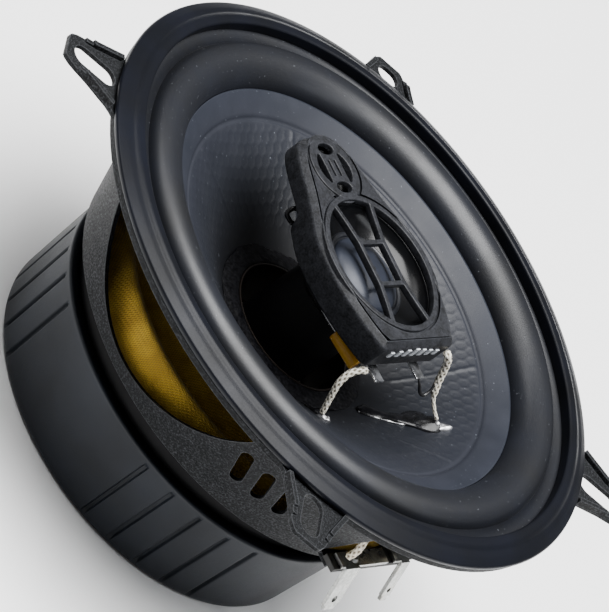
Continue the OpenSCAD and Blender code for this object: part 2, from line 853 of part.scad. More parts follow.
module rear_lead_positive() {
  color([0.7, 0.5, 0.3])
    turned()
      wire([[-9.4, -48.2, -21.4], [-9.5, -48.2, -18], [-9.4, -46, -14.2], [-9.6, -41, -12],
        [-10.6, -33, -12.6], [-11.4, -26.8, -13.4], [-11.8, -23.8, -12.7]], lead_d, [1, 0, 0]);
}

module rear_lead_negative() {
  color([0.7, 0.5, 0.3])
    turned()
      wire([[8.8, -48.2, -21.4], [8.9, -48.2, -18], [9.2, -46, -14], [11, -40, -10.4],
        [14, -34.4, -8.8], [16.4, -30.8, -8.4]], lead_d, [1, 0, 0]);
}

module tweeter_wire() {
  color([0.05, 0.05, 0.05])
    turned()
      wire([[-8.4, 15.2, 4.6], [-9.6, 16.6, 3.8], [-10.6, 16.4, 2.4],
            [-9.9, 14.9, 1.8], [-8.8, 13.4, 2]], 1);
}

basket();
basket_rivets();
terminal_board();
terminal_rivets();
terminal_positive();
terminal_negative();
top_plate();
ferrite_magnet();
t_yoke();
magnet_boot();
post_screw();
centre_post();
bridge_base();
tweeter_housing();
badge_bars();
tweeter_cup();
tweeter_magnet();
tweeter_surround();
tweeter_dome();
tweeter_coil();
small_tweeter_cup();
small_tweeter_dome();
capacitor();
capacitor_leads();
solder_lugs();
trim_ring();
surround();
cone();
neck_glue_ring();
coil_former();
coil_winding();
spider();
solder_pads();
coil_lead_strips();
tinsel_lead_left();
tinsel_lead_right();
rear_lead_positive();
rear_lead_negative();
tweeter_wire();
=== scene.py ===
"""Looks of a coaxial car speaker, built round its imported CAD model."""
import json
import math

import bmesh
import bpy
import numpy as np
from mathutils import Vector, Matrix, noise


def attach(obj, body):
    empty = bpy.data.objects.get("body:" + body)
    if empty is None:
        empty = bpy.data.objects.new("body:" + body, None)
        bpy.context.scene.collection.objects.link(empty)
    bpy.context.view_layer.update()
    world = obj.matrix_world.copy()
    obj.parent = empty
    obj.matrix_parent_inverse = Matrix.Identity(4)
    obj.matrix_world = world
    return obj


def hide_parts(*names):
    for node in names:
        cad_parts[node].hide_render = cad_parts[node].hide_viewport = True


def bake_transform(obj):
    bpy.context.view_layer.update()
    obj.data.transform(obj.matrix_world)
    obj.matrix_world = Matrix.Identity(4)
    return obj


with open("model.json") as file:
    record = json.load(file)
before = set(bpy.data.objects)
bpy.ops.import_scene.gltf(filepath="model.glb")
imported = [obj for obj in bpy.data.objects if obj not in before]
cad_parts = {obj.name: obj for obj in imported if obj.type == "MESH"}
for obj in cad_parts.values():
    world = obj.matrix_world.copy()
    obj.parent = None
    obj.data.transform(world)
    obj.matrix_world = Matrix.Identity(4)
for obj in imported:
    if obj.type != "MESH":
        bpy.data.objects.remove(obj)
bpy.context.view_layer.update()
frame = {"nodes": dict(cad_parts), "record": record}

MM = 0.001
TURN = math.radians(46)  # the parts are drawn with the terminals toward -Y, then turned

# Driving sizes, in millimetres, as in the CAD source
CONE_R = 46.2
CONE_EDGE_Z = 0.5
NECK_R = 19.4
NECK_Z = -15.0
CONE_T = 0.8
CONE_BULGE = 0.004
COIL_R = 14.7
ROLL_MID_R = 51.1
ROLL_HALF = 4.8
ROLL_H = 4.3
ROLL_T = 0.7
FLAP_R = 62.4  # outer edge of the surround, under the trim ring
SPIDER_Z = -21.4
SPIDER_R = 45.8
SPIDER_PITCH = 10.4
SPIDER_WAVE = 2.6
SPIDER_T = 0.5
TWEETER_Z = 5.3
SMALL_Y = 21.7
BOOT_LOW_Z = -55.0
BOOT_TOP_Z = -33.0


# ---------------------------------------------------------------- mesh helpers

def turned(v):
    """Points drawn in the bridge's own frame in millimetres, as points of the shared frame in metres."""
    v = np.asarray(v, float)
    c, s = math.cos(TURN), math.sin(TURN)
    out = np.empty_like(v)
    out[..., 0] = (v[..., 0] * c - v[..., 1] * s) * MM
    out[..., 1] = (v[..., 0] * s + v[..., 1] * c) * MM
    out[..., 2] = v[..., 2] * MM
    return out


def add_mesh(name, verts, faces):
    """A smooth-shaded object from bridge-frame points in millimetres."""
    mesh = bpy.data.meshes.new(name)
    mesh.from_pydata([tuple(p) for p in turned(verts)], [], [tuple(f) for f in faces])
    mesh.validate()
    mesh.update()
    mesh.shade_smooth()
    obj = bpy.data.objects.new(name, mesh)
    bpy.context.scene.collection.objects.link(obj)
    return obj


def grid_faces(rows, columns, wrap_rows, wrap_columns):
    """Four-sided faces of a grid of points numbered row by row."""
    r = np.arange(rows if wrap_rows else rows - 1)
    c = np.arange(columns if wrap_columns else columns - 1)
    rr, cc = np.meshgrid(r, c, indexing="ij")
    r2, c2 = (rr + 1) % rows, (cc + 1) % columns
    corners = [rr * columns + cc, rr * columns + c2, r2 * columns + c2, r2 * columns + cc]
    return np.stack(corners, -1).reshape(-1, 4)


def lathe(name, profile, segments=256, closed=True, shape=None, centre=(0, 0), angles=None):
    """Turns (r, z) points about the axis. shape(r, angle, z) gives new r, z on the whole grid."""
    p = np.asarray(profile, float)
    a = np.linspace(0, 2 * math.pi, segments, endpoint=False) if angles is None else np.asarray(angles)
    r = np.repeat(p[:, 0][:, None], len(a), 1)
    z = np.repeat(p[:, 1][:, None], len(a), 1)
    aa = np.repeat(a[None, :], len(p), 0)
    if shape is not None:
        r, z = shape(r, aa, z)
    v = np.stack([r * np.cos(aa) + centre[0], r * np.sin(aa) + centre[1], z], -1).reshape(-1, 3)
    f = grid_faces(len(p), len(a), closed, True)
    f = [tuple(x) for x in f]
    poles = {i for i in range(len(p)) if p[i, 0] < 1e-6}
    if poles:
        cleaned = []
        n = len(a)
        for q in f:
            seen = []
            for k in q:
                k = (k // n) * n if k // n in poles else k
                if k not in seen:
                    seen.append(k)
            if len(seen) > 2:
                cleaned.append(tuple(seen))
        f = cleaned
    obj = add_mesh(name, v, f)
    if poles:
        tidy_loose(obj)
    return obj


def store(obj, name, values):
    """A number at each point for the material to read."""
    attribute = obj.data.attributes.new(name, "FLOAT", "POINT")
    attribute.data.foreach_set("value", np.asarray(values, np.float32))


def tidy_loose(obj):
    """Deletes points that belong to no face."""
    bm = bmesh.new()
    bm.from_mesh(obj.data)
    bmesh.ops.delete(bm, geom=[v for v in bm.verts if not v.link_faces], context="VERTS")
    bm.to_mesh(obj.data)
    bm.free()


def rounded(points, radius, steps=4, closed=True):
    """Rounds each corner of a profile with a curve that starts up to radius away from it."""
    p = [np.array(q, float) for q in points]
    out = []
    n = len(p)
    for i in range(n):
        if not closed and i in (0, n - 1):
            out.append(p[i])
            continue
        a, b, c = p[i - 1], p[i], p[(i + 1) % n]
        la, lc = np.linalg.norm(a - b), np.linalg.norm(c - b)
        k = min(radius, la * 0.48, lc * 0.48)
        s, e = b + (a - b) / la * k, b + (c - b) / lc * k
        for t in np.linspace(0, 1, steps + 1):
            out.append((1 - t) ** 2 * s + 2 * t * (1 - t) * b + t ** 2 * e)
    return np.array(out)


def catmull(points, per_span=12):
    """A smooth curve through the points."""
    p = np.asarray(points, float)
    out = []
    for i in range(len(p) - 1):
        a, b, c, d = p[max(0, i - 1)], p[i], p[i + 1], p[min(len(p) - 1, i + 2)]
        for u in np.arange(per_span) / per_span:
            out.append(b + u / 2 * (c - a) + u ** 2 / 2 * (2 * a - 5 * b + 4 * c - d)
                       + u ** 3 / 2 * (3 * b - a - 3 * c + d))
    out.append(p[-1])
    return np.array(out)


def even(path, step):
    """The same path with points one step apart."""
    d = np.r_[0, np.cumsum(np.linalg.norm(np.diff(path, axis=0), axis=1))]
    n = max(3, int(round(d[-1] / step)) + 1)
    s = np.linspace(0, d[-1], n)
    return np.stack([np.interp(s, d, path[:, k]) for k in range(3)], 1), s


def sweep(name, points, radius, sides, step, flat=(1, 1)):
    """Tube along a smooth curve. radius(s, length, angle) in millimetres; flat scales across and up."""
    path, s = even(catmull(points), step)
    n = len(path)
    along = np.gradient(path, axis=0)
    along /= np.linalg.norm(along, axis=1)[:, None]
    u = np.cross(along[0], (0.0, 0.0, 1.0))
    u /= np.linalg.norm(u)
    rings = []
    a = np.linspace(0, 2 * math.pi, sides, endpoint=False)
    for i in range(n):
        u = u - along[i] * np.dot(u, along[i])
        u /= np.linalg.norm(u)
        w = np.cross(u, along[i])
        rad = radius(s[i], s[-1], a) * np.ones(sides)
        across, upward = rad * np.cos(a) * flat[0], rad * np.sin(a) * flat[1]
        rings.append(path[i] + np.outer(across, u) + np.outer(upward, w))
    v = np.concatenate(rings + [path[:1], path[-1:]])
    f = [tuple(x) for x in grid_faces(n, sides, False, True)]
    for k in range(sides):
        f.append((n * sides, (k + 1) % sides, k))
        f.append((n * sides + 1, (n - 1) * sides + k, (n - 1) * sides + (k + 1) % sides))
    return add_mesh(name, v, f)


BRAID_STRANDS = 4
BRAID_PITCH = 3.2
BRAID_SIDES, BRAID_STEP = 28, 0.09


def braid_height(s, a):
    """0 in the gaps and 1 on the strands of a braided cord, at distance s and angle a."""
    left = np.abs(np.sin(BRAID_STRANDS * a / 2 + math.pi * s / BRAID_PITCH * 2))
    right = np.abs(np.sin(BRAID_STRANDS * a / 2 - math.pi * s / BRAID_PITCH * 2))
    over = np.sin(BRAID_STRANDS * a + math.pi / 2) * np.sin(2 * math.pi * s / BRAID_PITCH * 2) > 0
    return np.where(over, np.maximum(left, right * 0.8), np.maximum(right, left * 0.8)) ** 1.5


def braided(name, points, width, taper):
    """Braided cord along a smooth curve; taper(t) scales its width from start 0 to end 1."""
    heights = []

    def radius(s, length, a):
        h = braid_height(s, a)
        heights.append(h)
        end = min(1, 0.45 + min(s, length - s) / 0.5)
        return width / 2 * taper(s / length) * end * (0.72 + 0.34 * h)
    obj = sweep(name, points, radius, BRAID_SIDES, BRAID_STEP)
    store(obj, "lay", np.r_[np.concatenate(heights), 0.5, 0.5])
    return obj


def lump(v, size, seed):
    """Smooth noise at the points, from about -1 to 1."""
    return np.array([noise.noise(Vector(p) / size + Vector((seed, seed * 1.7, -seed))) for p in v])


def joined(name, parts):
    """One object made of all the parts."""
    for o in parts:
        o.select_set(True)
    bpy.context.view_layer.objects.active = parts[0]
    with bpy.context.temp_override(active_object=parts[0], selected_editable_objects=parts,
                                   selected_objects=parts):
        bpy.ops.object.join()
    parts[0].name = name
    parts[0].data.name = name
    return parts[0]


# ---------------------------------------------------------------- shapes shared with the CAD

def cone_z(r):
    """Height of the cone's top face at distance r from the axis."""
    slope = (CONE_EDGE_Z - NECK_Z) / (CONE_R - NECK_R)
    return NECK_Z + (r - NECK_R) * slope + CONE_BULGE * (r - NECK_R) * (CONE_R - r)


def spider_mid(r):
    """Height of the middle of the spider's cloth: rolls that grow outward, rising a little inward."""
    size = np.clip((r - 15.6) / 3, 0, 1) * (0.58 + 0.42 * (r - 16) / 30)
    roll_wave = size * np.cos(2 * math.pi * (r - SPIDER_R) / SPIDER_PITCH)
    return SPIDER_Z + 1.8 * (SPIDER_R - r) / 30 - SPIDER_WAVE * roll_wave


def smooth(x):
    """0 below 0, 1 above 1 and a soft step between."""
    x = np.clip(x, 0, 1)
    return x * x * (3 - 2 * x)


def radial_blend(obj):
    """Bakes obj's placement into its mesh."""
    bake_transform(obj)


# ---------------------------------------------------------------- materials

def srgb(r, g, b):
    """A colour given as 0 to 255 on screen, as a linear one."""
    def one(c):
        c /= 255
        return c / 12.92 if c <= 0.04045 else ((c + 0.055) / 1.055) ** 2.4
    return (one(r), one(g), one(b), 1)


class Paint:
    """Small builder of a Principled material from procedural nodes."""

    def __init__(self, name, rough=0.5, metal=0.0, coat=0.0, specular=0.5, sheen=0.0):
        self.mat = bpy.data.materials.new(name)
        self.mat.use_nodes = True
        self.tree = self.mat.node_tree
        self.bsdf = self.tree.nodes["Principled BSDF"]
        self.set("Roughness", rough)
        self.set("Metallic", metal)
        self.set("Coat Weight", coat)
        self.set("Specular IOR Level", specular)
        self.set("Sheen Weight", sheen)
        self.place = self.tree.nodes.new("ShaderNodeTexCoord").outputs["Object"]
        self.normal = None

    def set(self, socket, value):
        self.bsdf.inputs[socket].default_value = value

    def link(self, a, b):
        self.tree.links.new(a, b)

    def node(self, kind, **inputs):
        n = self.tree.nodes.new(kind)
        for k, v in inputs.items():
            k = k.replace("_", " ")
            if hasattr(v, "is_linked"):
                self.link(v, n.inputs[k])
            else:
                n.inputs[k].default_value = v
        return n

    def grain(self, size_mm, detail, stretch=(1, 1, 1)):
        """Noise with features of about that size, 0 to 1."""
        vector = self.place
        if stretch != (1, 1, 1):
            m = self.tree.nodes.new("ShaderNodeMapping")
            m.inputs["Scale"].default_value = stretch
            self.link(self.place, m.inputs["Vector"])
            vector = m.outputs["Vector"]
        n = self.node("ShaderNodeTexNoise", Vector=vector, Scale=1000 / size_mm, Detail=detail)
        return n.outputs["Fac"]

    def ramp(self, value, stops):
        """Maps a value through stops of (position, grey or colour)."""
        n = self.tree.nodes.new("ShaderNodeValToRGB")
        while len(n.color_ramp.elements) < len(stops):
            n.color_ramp.elements.new(0.5)
        for e, (at, c) in zip(n.color_ramp.elements, stops):
            e.position = at
            e.color = c if isinstance(c, tuple) else (c, c, c, 1)
        self.link(value, n.inputs["Fac"])
        return n.outputs["Color"]

    def math(self, kind, a, b=0.0, clamp=False):
        n = self.tree.nodes.new("ShaderNodeMath")
        n.operation = kind
        n.use_clamp = clamp
        for i, v in enumerate((a, b)):
            if hasattr(v, "is_linked"):
                self.link(v, n.inputs[i])
            else:
                n.inputs[i].default_value = v
        return n.outputs["Value"]

    def mix(self, fac, a, b):
        """Colour a where fac is 0 and b where it is 1."""
        n = self.tree.nodes.new("ShaderNodeMix")
        n.data_type = "RGBA"
        for i, v in ((0, fac), (6, a), (7, b)):
            if hasattr(v, "is_linked"):
                self.link(v, n.inputs[i])
            else:
                n.inputs[i].default_value = v
        return n.outputs[2]

    def color(self, value):
        self.link(value, self.bsdf.inputs["Base Color"])
        return self

    def rough(self, value):
        self.link(value, self.bsdf.inputs["Roughness"])
        return self

    def bump(self, height, mm, strength):
        n = self.node("ShaderNodeBump", Height=height, Distance=mm * MM, Strength=strength)
        if self.normal is not None:
            self.link(self.normal, n.inputs["Normal"])
        self.normal = n.outputs["Normal"]
        self.link(self.normal, self.bsdf.inputs["Normal"])
        return self

    def soft_edges(self, mm):
        """Rounds sharp CAD edges in the shading."""
        n = self.tree.nodes.new("ShaderNodeBevel")
        n.samples = 4
        n.inputs["Radius"].default_value = mm * MM
        self.normal = n.outputs["Normal"]
        self.link(self.normal, self.bsdf.inputs["Normal"])
        return self

    def edge(self, mm, gain):
        """About 1 on convex or concave edges and 0 on flats."""
        b = self.tree.nodes.new("ShaderNodeBevel")
        b.samples = 4
        b.inputs["Radius"].default_value = mm * MM
        g = self.tree.nodes.new("ShaderNodeNewGeometry")
        d = self.tree.nodes.new("ShaderNodeVectorMath")
        d.operation = "DOT_PRODUCT"
        self.link(b.outputs["Normal"], d.inputs[0])
        self.link(g.outputs["Normal"], d.inputs[1])
        return self.math("MULTIPLY", self.math("SUBTRACT", 1.0, d.outputs["Value"]), gain, clamp=True)

    def stored(self, name):
        """A number kept at each point of the mesh by store()."""
        n = self.tree.nodes.new("ShaderNodeAttribute")
        n.attribute_name = name
        return n.outputs["Fac"]

    def xyz(self):
        """Place in metres, one output for each axis."""
        n = self.tree.nodes.new("ShaderNodeSeparateXYZ")
        self.link(self.place, n.inputs[0])
        return n.outputs

    def axis_distance(self):
        """Distance from the speaker's axis in millimetres."""
        x, y, _ = self.xyz()
        squares = self.math("ADD", self.math("MULTIPLY", x, x), self.math("MULTIPLY", y, y))
        return self.math("MULTIPLY", self.math("SQRT", squares), 1000)


def powder_coat():
    p = Paint("powder_coat", specular=0.06)
    fine = p.grain(0.4, 3)
    coarse = p.grain(9, 3)
    base = p.ramp(fine, [(0.34, srgb(13, 13, 14)), (0.52, srgb(24, 25, 26)), (0.66, srgb(52, 53, 56))])
    base = p.mix(p.ramp(coarse, [(0.35, 0.0), (0.7, 0.35)]), base, srgb(20, 21, 22))
    # Painted highlight: the colour is lighter on edges, standing in for the glints they catch.
    base = p.mix(p.edge(0.4, 2.0), base, srgb(84, 86, 89))
    p.color(base).rough(p.ramp(fine, [(0.3, 0.62), (0.7, 0.38)]))
    p.soft_edges(0.3).bump(fine, 0.08, 0.6)
    return p.mat


def rubber(name, dark, light, rough, specular, dust=0.0):
    p = Paint(name, specular=specular)
    cloud = p.grain(14, 4)
    fine = p.grain(0.35, 2)
    base = p.mix(p.ramp(cloud, [(0.3, 0.0), (0.7, 1.0)]), dark, light)
    if dust:
        specks = p.ramp(p.grain(0.6, 1), [(0.74, 0.0), (0.78, dust)])
        base = p.mix(specks, base, srgb(150, 155, 162))
    wear = p.math("ADD", p.math("MULTIPLY", cloud, 0.6), p.math("MULTIPLY", fine, 0.4))
    p.color(base).rough(p.ramp(wear, [(0.3, rough + 0.1), (0.7, rough - 0.08)]))
    p.soft_edges(0.15).bump(fine, 0.03, 0.5)
    return p.mat


def cone_material():
    p = Paint("cone_pp", specular=0.2)
    r = p.axis_distance()
    cloud = p.grain(7, 4)
    fine = p.grain(0.3, 2)
    # Painted shade: the colour darkens toward the neck, standing in for the shade in the deep part of the
    # cone.
    tone_and_shade = p.ramp(p.math("DIVIDE", r, 50.0), [
        (0.3, srgb(8, 8, 10)), (0.42, srgb(13, 14, 17)), (0.62, srgb(22, 24, 29)),
        (0.82, srgb(32, 34, 41)), (0.93, srgb(34, 37, 45))])
    tone_and_shade = p.mix(p.ramp(cloud, [(0.3, 0.0), (0.75, 0.35)]), tone_and_shade, srgb(20, 22, 27))
    specks = p.ramp(p.grain(0.6, 1), [(0.75, 0.0), (0.79, 0.3)])
    tone_and_shade = p.mix(specks, tone_and_shade, srgb(140, 146, 156))
    p.color(tone_and_shade).rough(p.ramp(cloud, [(0.3, 0.52), (0.7, 0.4)]))
    p.bump(fine, 0.03, 0.5)
    return p.mat


def spider_material():
    p = Paint("spider_cloth", rough=0.8, specular=0.25, sheen=0.35)
    pitch = 0.72
    x, y, _ = p.xyz()
    wx = p.math("SINE", p.math("MULTIPLY", x, 2000 * math.pi / pitch))
    wy = p.math("SINE", p.math("MULTIPLY", y, 2000 * math.pi / pitch))
    ax, ay = p.math("ABSOLUTE", wx), p.math("ABSOLUTE", wy)
    over = p.math("GREATER_THAN", p.math("MULTIPLY", wx, wy), 0.0)
    under = p.math("SUBTRACT", 1.0, over)
    height = p.math("ADD", p.math("MULTIPLY", over, ax), p.math("MULTIPLY", under, ay))
    cloud = p.grain(6, 4)
    tone_and_shade = p.mix(p.ramp(cloud, [(0.3, 0.0), (0.7, 1.0)]), srgb(172, 134, 22), srgb(224, 182, 50))
    # Painted shade: the colour turns dark brown in the gaps of the weave, where the threads dip.
    tone_and_shade = p.mix(p.ramp(height, [(0.15, 0.75), (0.6, 0.0)]), tone_and_shade, srgb(110, 80, 12))
    p.color(tone_and_shade).bump(height, 0.14, 0.7).bump(p.grain(0.25, 2), 0.05, 0.5)
    return p.mat


def plastic(name, dark, light, rough, grain=0.4, depth=0.05, specular=0.5, coat=0.0, edge=None, cloud_mm=8):
    p = Paint(name, specular=specular, coat=coat)
    fine, cloud = p.grain(grain, 3), p.grain(cloud_mm, 3)
    base = p.mix(p.ramp(p.math("ADD", p.math("MULTIPLY", fine, 0.5), p.math("MULTIPLY", cloud, 0.5)),
                        [(0.35, 0.0), (0.65, 1.0)]), dark, light)
    if edge:
        # Painted highlight: with edge set, the colour is lighter on edges, standing in for the light they
        # catch.
        base = p.mix(p.edge(0.35, 1.6), base, edge)
    p.color(base).rough(p.ramp(cloud, [(0.3, rough + 0.06), (0.7, rough - 0.06)]))
    p.soft_edges(0.2).bump(fine, depth, 0.5)
    return p.mat


def metal(name, dark, light, rough, grain=0.8, depth=0.02, stretch=(1, 1, 1), worn=None):
    p = Paint(name, metal=1.0)
    fine, cloud = p.grain(grain, 4, stretch), p.grain(4, 4)
    base = p.mix(p.ramp(fine, [(0.3, 0.0), (0.7, 1.0)]), dark, light)
    if worn:
        base = p.mix(p.ramp(cloud, [(0.55, 0.0), (0.7, 0.6)]), base, worn)
    p.color(base).rough(p.ramp(cloud, [(0.3, rough + 0.12), (0.7, max(0.05, rough - 0.1))]))
    p.soft_edges(0.12).bump(fine, depth, 0.6)
    return p.mat


def braid_material(name, dark, light, fleck):
    p = Paint(name, rough=0.5, metal=0.15, specular=0.5)
    fine, cloud = p.grain(0.2, 2), p.grain(0.7, 2)
    # Painted shade: the colour darkens in the gaps between the strands.
    base = p.mix(p.ramp(p.stored("lay"), [(0.3, 0.0), (0.85, 1.0)]), dark, light)
    base = p.mix(p.ramp(cloud, [(0.6, 0.0), (0.68, 0.9)]), base, fleck)
    p.color(base).rough(p.ramp(fine, [(0.3, 0.6), (0.7, 0.3)])).bump(fine, 0.05, 0.7)
    return p.mat


def dome_film():
    p = Paint("dome_film", metal=0.2, specular=0.3)
    fine, cloud = p.grain(1.5, 2), p.grain(5, 3)
    p.color(p.ramp(cloud, [(0.3, srgb(30, 33, 41)), (0.7, srgb(42, 46, 56))]))
    p.rough(p.ramp(cloud, [(0.3, 0.42), (0.7, 0.34)]))
    p.bump(fine, 0.01, 0.4)
    return p.mat


def glue_material():
    p = Paint("black_glue", specular=0.06)
    fine, cloud = p.grain(0.5, 4), p.grain(2.5, 3)
    base = p.mix(p.ramp(fine, [(0.4, 0.0), (0.68, 1.0)]), srgb(4, 4, 5), srgb(20, 20, 23))
    p.color(base).rough(p.ramp(cloud, [(0.35, 0.75), (0.65, 0.3)])).bump(fine, 0.1, 0.7)
    return p.mat


def ferrite():
    p = Paint("ferrite", specular=0.4)
    fine = p.grain(0.3, 4)
    p.color(p.ramp(fine, [(0.35, srgb(22, 22, 24)), (0.65, srgb(40, 40, 42))]))
    p.rough(p.ramp(fine, [(0.3, 0.85), (0.7, 0.6)]))
    p.soft_edges(0.2).bump(fine, 0.06, 0.7)
    return p.mat


def gloss_glue():
    p = Paint("gloss_glue", specular=0.25)
    cloud = p.grain(1.6, 3)
    p.color(p.ramp(cloud, [(0.35, srgb(6, 6, 7)), (0.7, srgb(22, 22, 25))]))
    p.rough(p.ramp(cloud, [(0.3, 0.32), (0.7, 0.12)]))
    p.bump(cloud, 0.08, 0.5)
    return p.mat


FINISH = {
    "gloss_glue": gloss_glue(),
    "dome_film": dome_film(),
    "powder_coat": powder_coat(),
    "trim_rubber": rubber("trim_rubber", srgb(8, 9, 12), srgb(16, 18, 25), rough=0.36, specular=0.12),
    "surround_rubber": rubber("surround_rubber", srgb(12, 13, 16), srgb(22, 24, 30), 0.4, specular=0.36,
                              dust=0.15),
    "boot_rubber": rubber("boot_rubber", srgb(17, 20, 25), srgb(25, 29, 36), rough=0.44, specular=0.22),
    "cone_pp": cone_material(),
    "black_glue": glue_material(),
    "spider_cloth": spider_material(),
    "polyimide": plastic("polyimide", srgb(16, 11, 7), srgb(26, 18, 12), 0.5, specular=0.2),
    "copper_wire": metal("copper_wire", srgb(150, 82, 44), srgb(204, 128, 80), 0.35, 0.25, 0.05,
                         stretch=(0.2, 0.2, 3)),
    "black_steel": plastic("black_steel", srgb(3, 3, 4), srgb(7, 7, 9), 0.4, 1.2, 0.03, specular=0.08),
    "plated_steel": metal("plated_steel", srgb(150, 150, 146), srgb(190, 190, 186), 0.34,
                          worn=srgb(120, 120, 116)),
    "ferrite": ferrite(),
    "magnet_plated": metal("magnet_plated", srgb(150, 150, 152), srgb(186, 186, 190), 0.2),
    "black_plastic": plastic("black_plastic", srgb(6, 6, 7), srgb(12, 12, 14), 0.42, 0.5, 0.04,
                             specular=0.25),
    # Painted highlight: lighter colour on the housing's edges.
    "housing_plastic": plastic("housing_plastic", srgb(12, 13, 15), srgb(42, 43, 47), 0.44, 0.4, 0.07,
                               cloud_mm=1.6, specular=0.22, edge=srgb(66, 68, 73)),
    "gloss_black": plastic("gloss_black", srgb(5, 5, 6), srgb(9, 10, 12), 0.24, 2.0, 0.01, specular=0.22),
    "silver_trim": plastic("silver_trim", srgb(176, 180, 186), srgb(216, 220, 226), 0.35, 0.4, 0.02),
    "small_dome_film": metal("small_dome_film", srgb(120, 124, 130), srgb(170, 174, 182), 0.25),
    "capacitor_film": plastic("capacitor_film", srgb(236, 160, 12), srgb(255, 196, 40), 0.25, 1.5, 0.03,
                              coat=0.5),
    "tinned_wire": metal("tinned_wire", srgb(170, 170, 172), srgb(214, 214, 216), 0.22, 0.5),
    "solder": metal("solder", srgb(160, 160, 162), srgb(220, 220, 222), 0.4, 0.9, 0.1),
    "tinsel_braid": braid_material("tinsel_braid", srgb(104, 96, 80), srgb(232, 227, 212),
                                   srgb(252, 252, 250)),
    "rear_braid": braid_material("rear_braid", srgb(110, 98, 78), srgb(226, 216, 194), srgb(245, 240, 228)),
    "board_fibre": plastic("board_fibre", srgb(14, 13, 12), srgb(28, 26, 23), 0.6, 0.6, 0.06),
    "tin_plate": metal("tin_plate", srgb(150, 151, 148), srgb(190, 191, 188), 0.3, 0.6,
                       worn=srgb(150, 146, 136)),
    "wire_jacket": plastic("wire_jacket", srgb(12, 12, 13), srgb(30, 30, 32), 0.3, 0.8, 0.03),
    "lug_tin": metal("lug_tin", srgb(170, 172, 176), srgb(236, 238, 242), 0.25, 1.2, 0.12),
}
slot_of = {s["node"]: s["material_slot"] for s in frame["record"]["subparts"]}


def finish(obj, slot):
    """Gives obj the material of that name."""
    obj.data.materials.clear()
    obj.data.materials.append(FINISH[slot])
    return obj


def stand_in(obj, body, *nodes):
    """obj takes the place of CAD nodes on a body, with their finish."""
    finish(obj, slot_of[nodes[0]])
    if body:
        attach(obj, body)
    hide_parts(*nodes)
    return obj


def soften(node, width_mm):
    """Bevels the sharp edges of a CAD node that stays."""
    o = frame["nodes"][node]
    d = o.modifiers.new("merge_flats", "DECIMATE")
    d.decimate_type = "DISSOLVE"
    d.angle_limit = math.radians(0.6)
    b = o.modifiers.new("edges", "BEVEL")
    b.width = width_mm * MM
    b.segments = 2
    b.limit_method = "ANGLE"
    b.angle_limit = math.radians(28)
    b.use_clamp_overlap = True
    b.harden_normals = False
    o.modifiers.new("normals", "WEIGHTED_NORMAL")


for node_name, node_object in frame["nodes"].items():
    node_object.data.materials.clear()
    node_object.data.materials.append(FINISH["lug_tin" if node_name == "solder_lugs" else slot_of[node_name]])

# ---------------------------------------------------------------- trim ring and surround
ring_profile = rounded([(58.8, 2.62), (FLAP_R, 2.62), (FLAP_R, 2.02), (64.0, 2.02), (64.6, 2.15), (65, 2.9),
                        (64.8, 3.5), (62.9, 4.3), (61.7, 4.6), (61.2, 4.95), (60.6, 5.2), (59.2, 5.2),
                        (58.8, 4.9)], 0.35)
stand_in(lathe("trim_ring_shell", ring_profile, 360), "frame", "trim_ring")


def roll(a, half, height):
    """Point of the surround's half roll, which ends 1.5 mm higher at the rim than at the cone."""
    foot = CONE_EDGE_Z - 0.3 + 1.5 * (0.5 + 0.5 * math.cos(a))
    return (ROLL_MID_R + half * math.cos(a), foot + height * math.sin(a))


inner = CONE_R - 2.4
surround_profile = [(inner, cone_z(inner) - CONE_T - 0.02), (CONE_R + 0.05, CONE_EDGE_Z - CONE_T - 0.02),
                    (CONE_R + 0.1, CONE_EDGE_Z - 0.3)]
surround_profile += [roll(math.radians(a), ROLL_HALF, ROLL_H) for a in range(174, 5, -4)]
surround_profile += [(ROLL_MID_R + ROLL_HALF, 2.6), (FLAP_R, 2.6), (FLAP_R, 2.0),
                     (ROLL_MID_R + ROLL_HALF - ROLL_T, 2.0)]
surround_profile += [roll(math.radians(a), ROLL_HALF - ROLL_T, ROLL_H - ROLL_T) for a in range(6, 175, 4)]
surround_profile += [(CONE_R + 0.8, CONE_EDGE_Z - 1.6), (inner, cone_z(inner) - CONE_T - 0.62)]
surround = lathe("surround_roll", surround_profile, 320)
stand_in(surround, None, "surround")
radial_blend(surround)

# ---------------------------------------------------------------- cone
HEX = 2.4
GROOVE_R = 40.9
CREASE_ANGLES = [-74, -27, 22, 71, 121, 172, -132]


def hex_edge(x, y, pitch):
    """Distance in millimetres to the nearest side of a honeycomb with that pitch."""
    h = pitch * math.sqrt(3)
    best = None
    for ox, oy in ((0, 0), (pitch / 2, h / 2)):
        dx = (x - ox + pitch / 2) % pitch - pitch / 2
        dy = (y - oy + h / 2) % h - h / 2
        d = dx * dx + dy * dy
        if best is None:
            best, bx, by = d, dx, dy
        else:
            closer = d < best
            bx, by = np.where(closer, dx, bx), np.where(closer, dy, by)
    reach = np.zeros_like(bx)
    for k in range(3):
        t = k * math.pi / 3
        reach = np.maximum(reach, np.abs(bx * math.cos(t) + by * math.sin(t)))
    return pitch / 2 - reach


def cone_relief(r, a):
    """Honeycomb, one round groove and curved creases on the cone's top face."""
    x, y = r * np.cos(a), r * np.sin(a)
    inside = smooth((40.2 - r) / 0.6) * smooth((r - 20) / 7)
    z = 0.11 * inside * (1 - smooth(hex_edge(x, y, HEX) / 0.42))
    z += -0.42 * np.exp(-((r - GROOVE_R) / 0.26) ** 2) + 0.1 * smooth((r - GROOVE_R - 0.2) / 0.5)
    for c in CREASE_ANGLES:
        t = np.clip((40 - r) / 17, 0, 1)
        middle = np.radians(c) - np.radians(13) * t ** 1.3
        off = (a - middle + math.pi) % (2 * math.pi) - math.pi
        z += 0.22 * np.exp(-(off * r / 0.42) ** 2) * smooth((40.4 - r) / 0.8) * smooth((r - 22) / 3)
    return z


